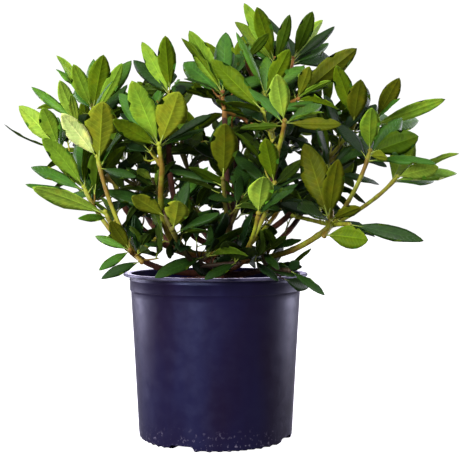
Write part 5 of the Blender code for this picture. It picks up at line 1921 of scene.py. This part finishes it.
class SHRUB_OT_make_stage(bpy.types.Operator):
    """Lay the pale floor and set the soft lights and the camera."""
    bl_idname = "shrub.make_stage"
    bl_label = "Make the stage"

    def execute(self, context):
        settings = context.scene.shrub_stage
        scene = context.scene
        disc = turned([(0.0, 0.0), (FLOOR_RADIUS, 0.0)], 96)
        floor = new_piece("floor", facing_up(mesh_from("floor", *disc)))
        material, tree, surface = new_material("pale_floor", 0.9, 0.1)
        tell(tree, surface, {
            "Base Color": (*settings.floor, 1.0), "Emission Color": WHITE, "Emission Strength": 1.0,
        })
        floor.data.materials.append(material)
        floor.visible_diffuse = False
        floor.visible_glossy = False
        world = bpy.data.worlds.new("studio")
        world.use_nodes = True
        room = world.node_tree
        path = add_node(room, "ShaderNodeLightPath").outputs
        sheen = ramp(room, path["Is Glossy Ray"], 0.0, 1.0, settings.sky_strength, settings.sheen_strength)
        seen = ramp(room, path["Is Camera Ray"], 0.0, 1.0, sheen, BACKDROP_STRENGTH)
        ground = next(node for node in room.nodes if node.type == "BACKGROUND")
        tell(room, ground, {"Strength": seen, "Color": WHITE})
        scene.world = world
        scene.view_settings.view_transform = "Standard"
        scene.view_settings.look = "None"
        for name, place, width, height, power, tone in LIGHTS:
            soft_light(name, place, width, height, getattr(settings, power), tone)
        camera_data = bpy.data.cameras.new("camera")
        camera_data.lens = settings.camera_lens
        camera_data.sensor_width = SENSOR_WIDTH
        camera = bpy.data.objects.new("camera", camera_data)
        camera.location = (0.0, -EYE_DISTANCE, EYE_HEIGHT)
        camera.rotation_euler = CAMERA_TURN
        scene.collection.objects.link(camera)
        scene.camera = camera
        return {"FINISHED"}


def soft_light(name, place, width, height, power, tone):
    """A rectangular soft light turned to the plant."""
    data = bpy.data.lights.new(name, "AREA")
    data.shape = "RECTANGLE"
    data.size = width
    data.size_y = height
    data.energy = power
    data.color = tone
    lamp = bpy.data.objects.new(name, data)
    lamp.location = place
    lamp.rotation_euler = (Vector(LIGHT_AIM) - Vector(place)).to_track_quat("-Z", "Y").to_euler()
    bpy.context.scene.collection.objects.link(lamp)
    return lamp


# ---------------------------------------------------------------- panel and run


OPERATORS = (
    SHRUB_OT_make_stage,
    SHRUB_OT_make_pot,
    SHRUB_OT_make_mix,
    SHRUB_OT_make_trunk,
    SHRUB_OT_make_boughs,
    SHRUB_OT_make_twigs,
    SHRUB_OT_make_leaves,
)
SETTINGS = {
    "shrub_pot": ShrubPotSettings,
    "shrub_mix": ShrubMixSettings,
    "shrub_wood": ShrubWoodSettings,
    "shrub_leaves": ShrubLeafSettings,
    "shrub_stage": ShrubStageSettings,
}


class SHRUB_PT_panel(bpy.types.Panel):
    """The shrub's steps and settings in the sidebar."""
    bl_idname = "SHRUB_PT_panel"
    bl_label = "Potted rhododendron"
    bl_space_type = "VIEW_3D"
    bl_region_type = "UI"
    bl_category = "Shrub"

    def draw(self, context):
        layout = self.layout
        for operator in OPERATORS:
            layout.operator(operator.bl_idname)
        for name in SETTINGS:
            group = getattr(context.scene, name)
            box = layout.box()
            for key in group.__annotations__:
                box.prop(group, key)


def register():
    for group in SETTINGS.values():
        bpy.utils.register_class(group)
    for name, group in SETTINGS.items():
        setattr(bpy.types.Scene, name, PointerProperty(type=group))
    for operator in OPERATORS:
        bpy.utils.register_class(operator)
    bpy.utils.register_class(SHRUB_PT_panel)


def unregister():
    bpy.utils.unregister_class(SHRUB_PT_panel)
    for operator in reversed(OPERATORS):
        bpy.utils.unregister_class(operator)
    for name, group in SETTINGS.items():
        delattr(bpy.types.Scene, name)
        bpy.utils.unregister_class(group)


def main():
    register()
    bpy.ops.shrub.make_stage()
    bpy.ops.shrub.make_pot()
    bpy.ops.shrub.make_mix()
    bpy.ops.shrub.make_trunk()
    bpy.ops.shrub.make_boughs()
    bpy.ops.shrub.make_twigs()
    bpy.ops.shrub.make_leaves()


if __name__ == "__main__":
    main()
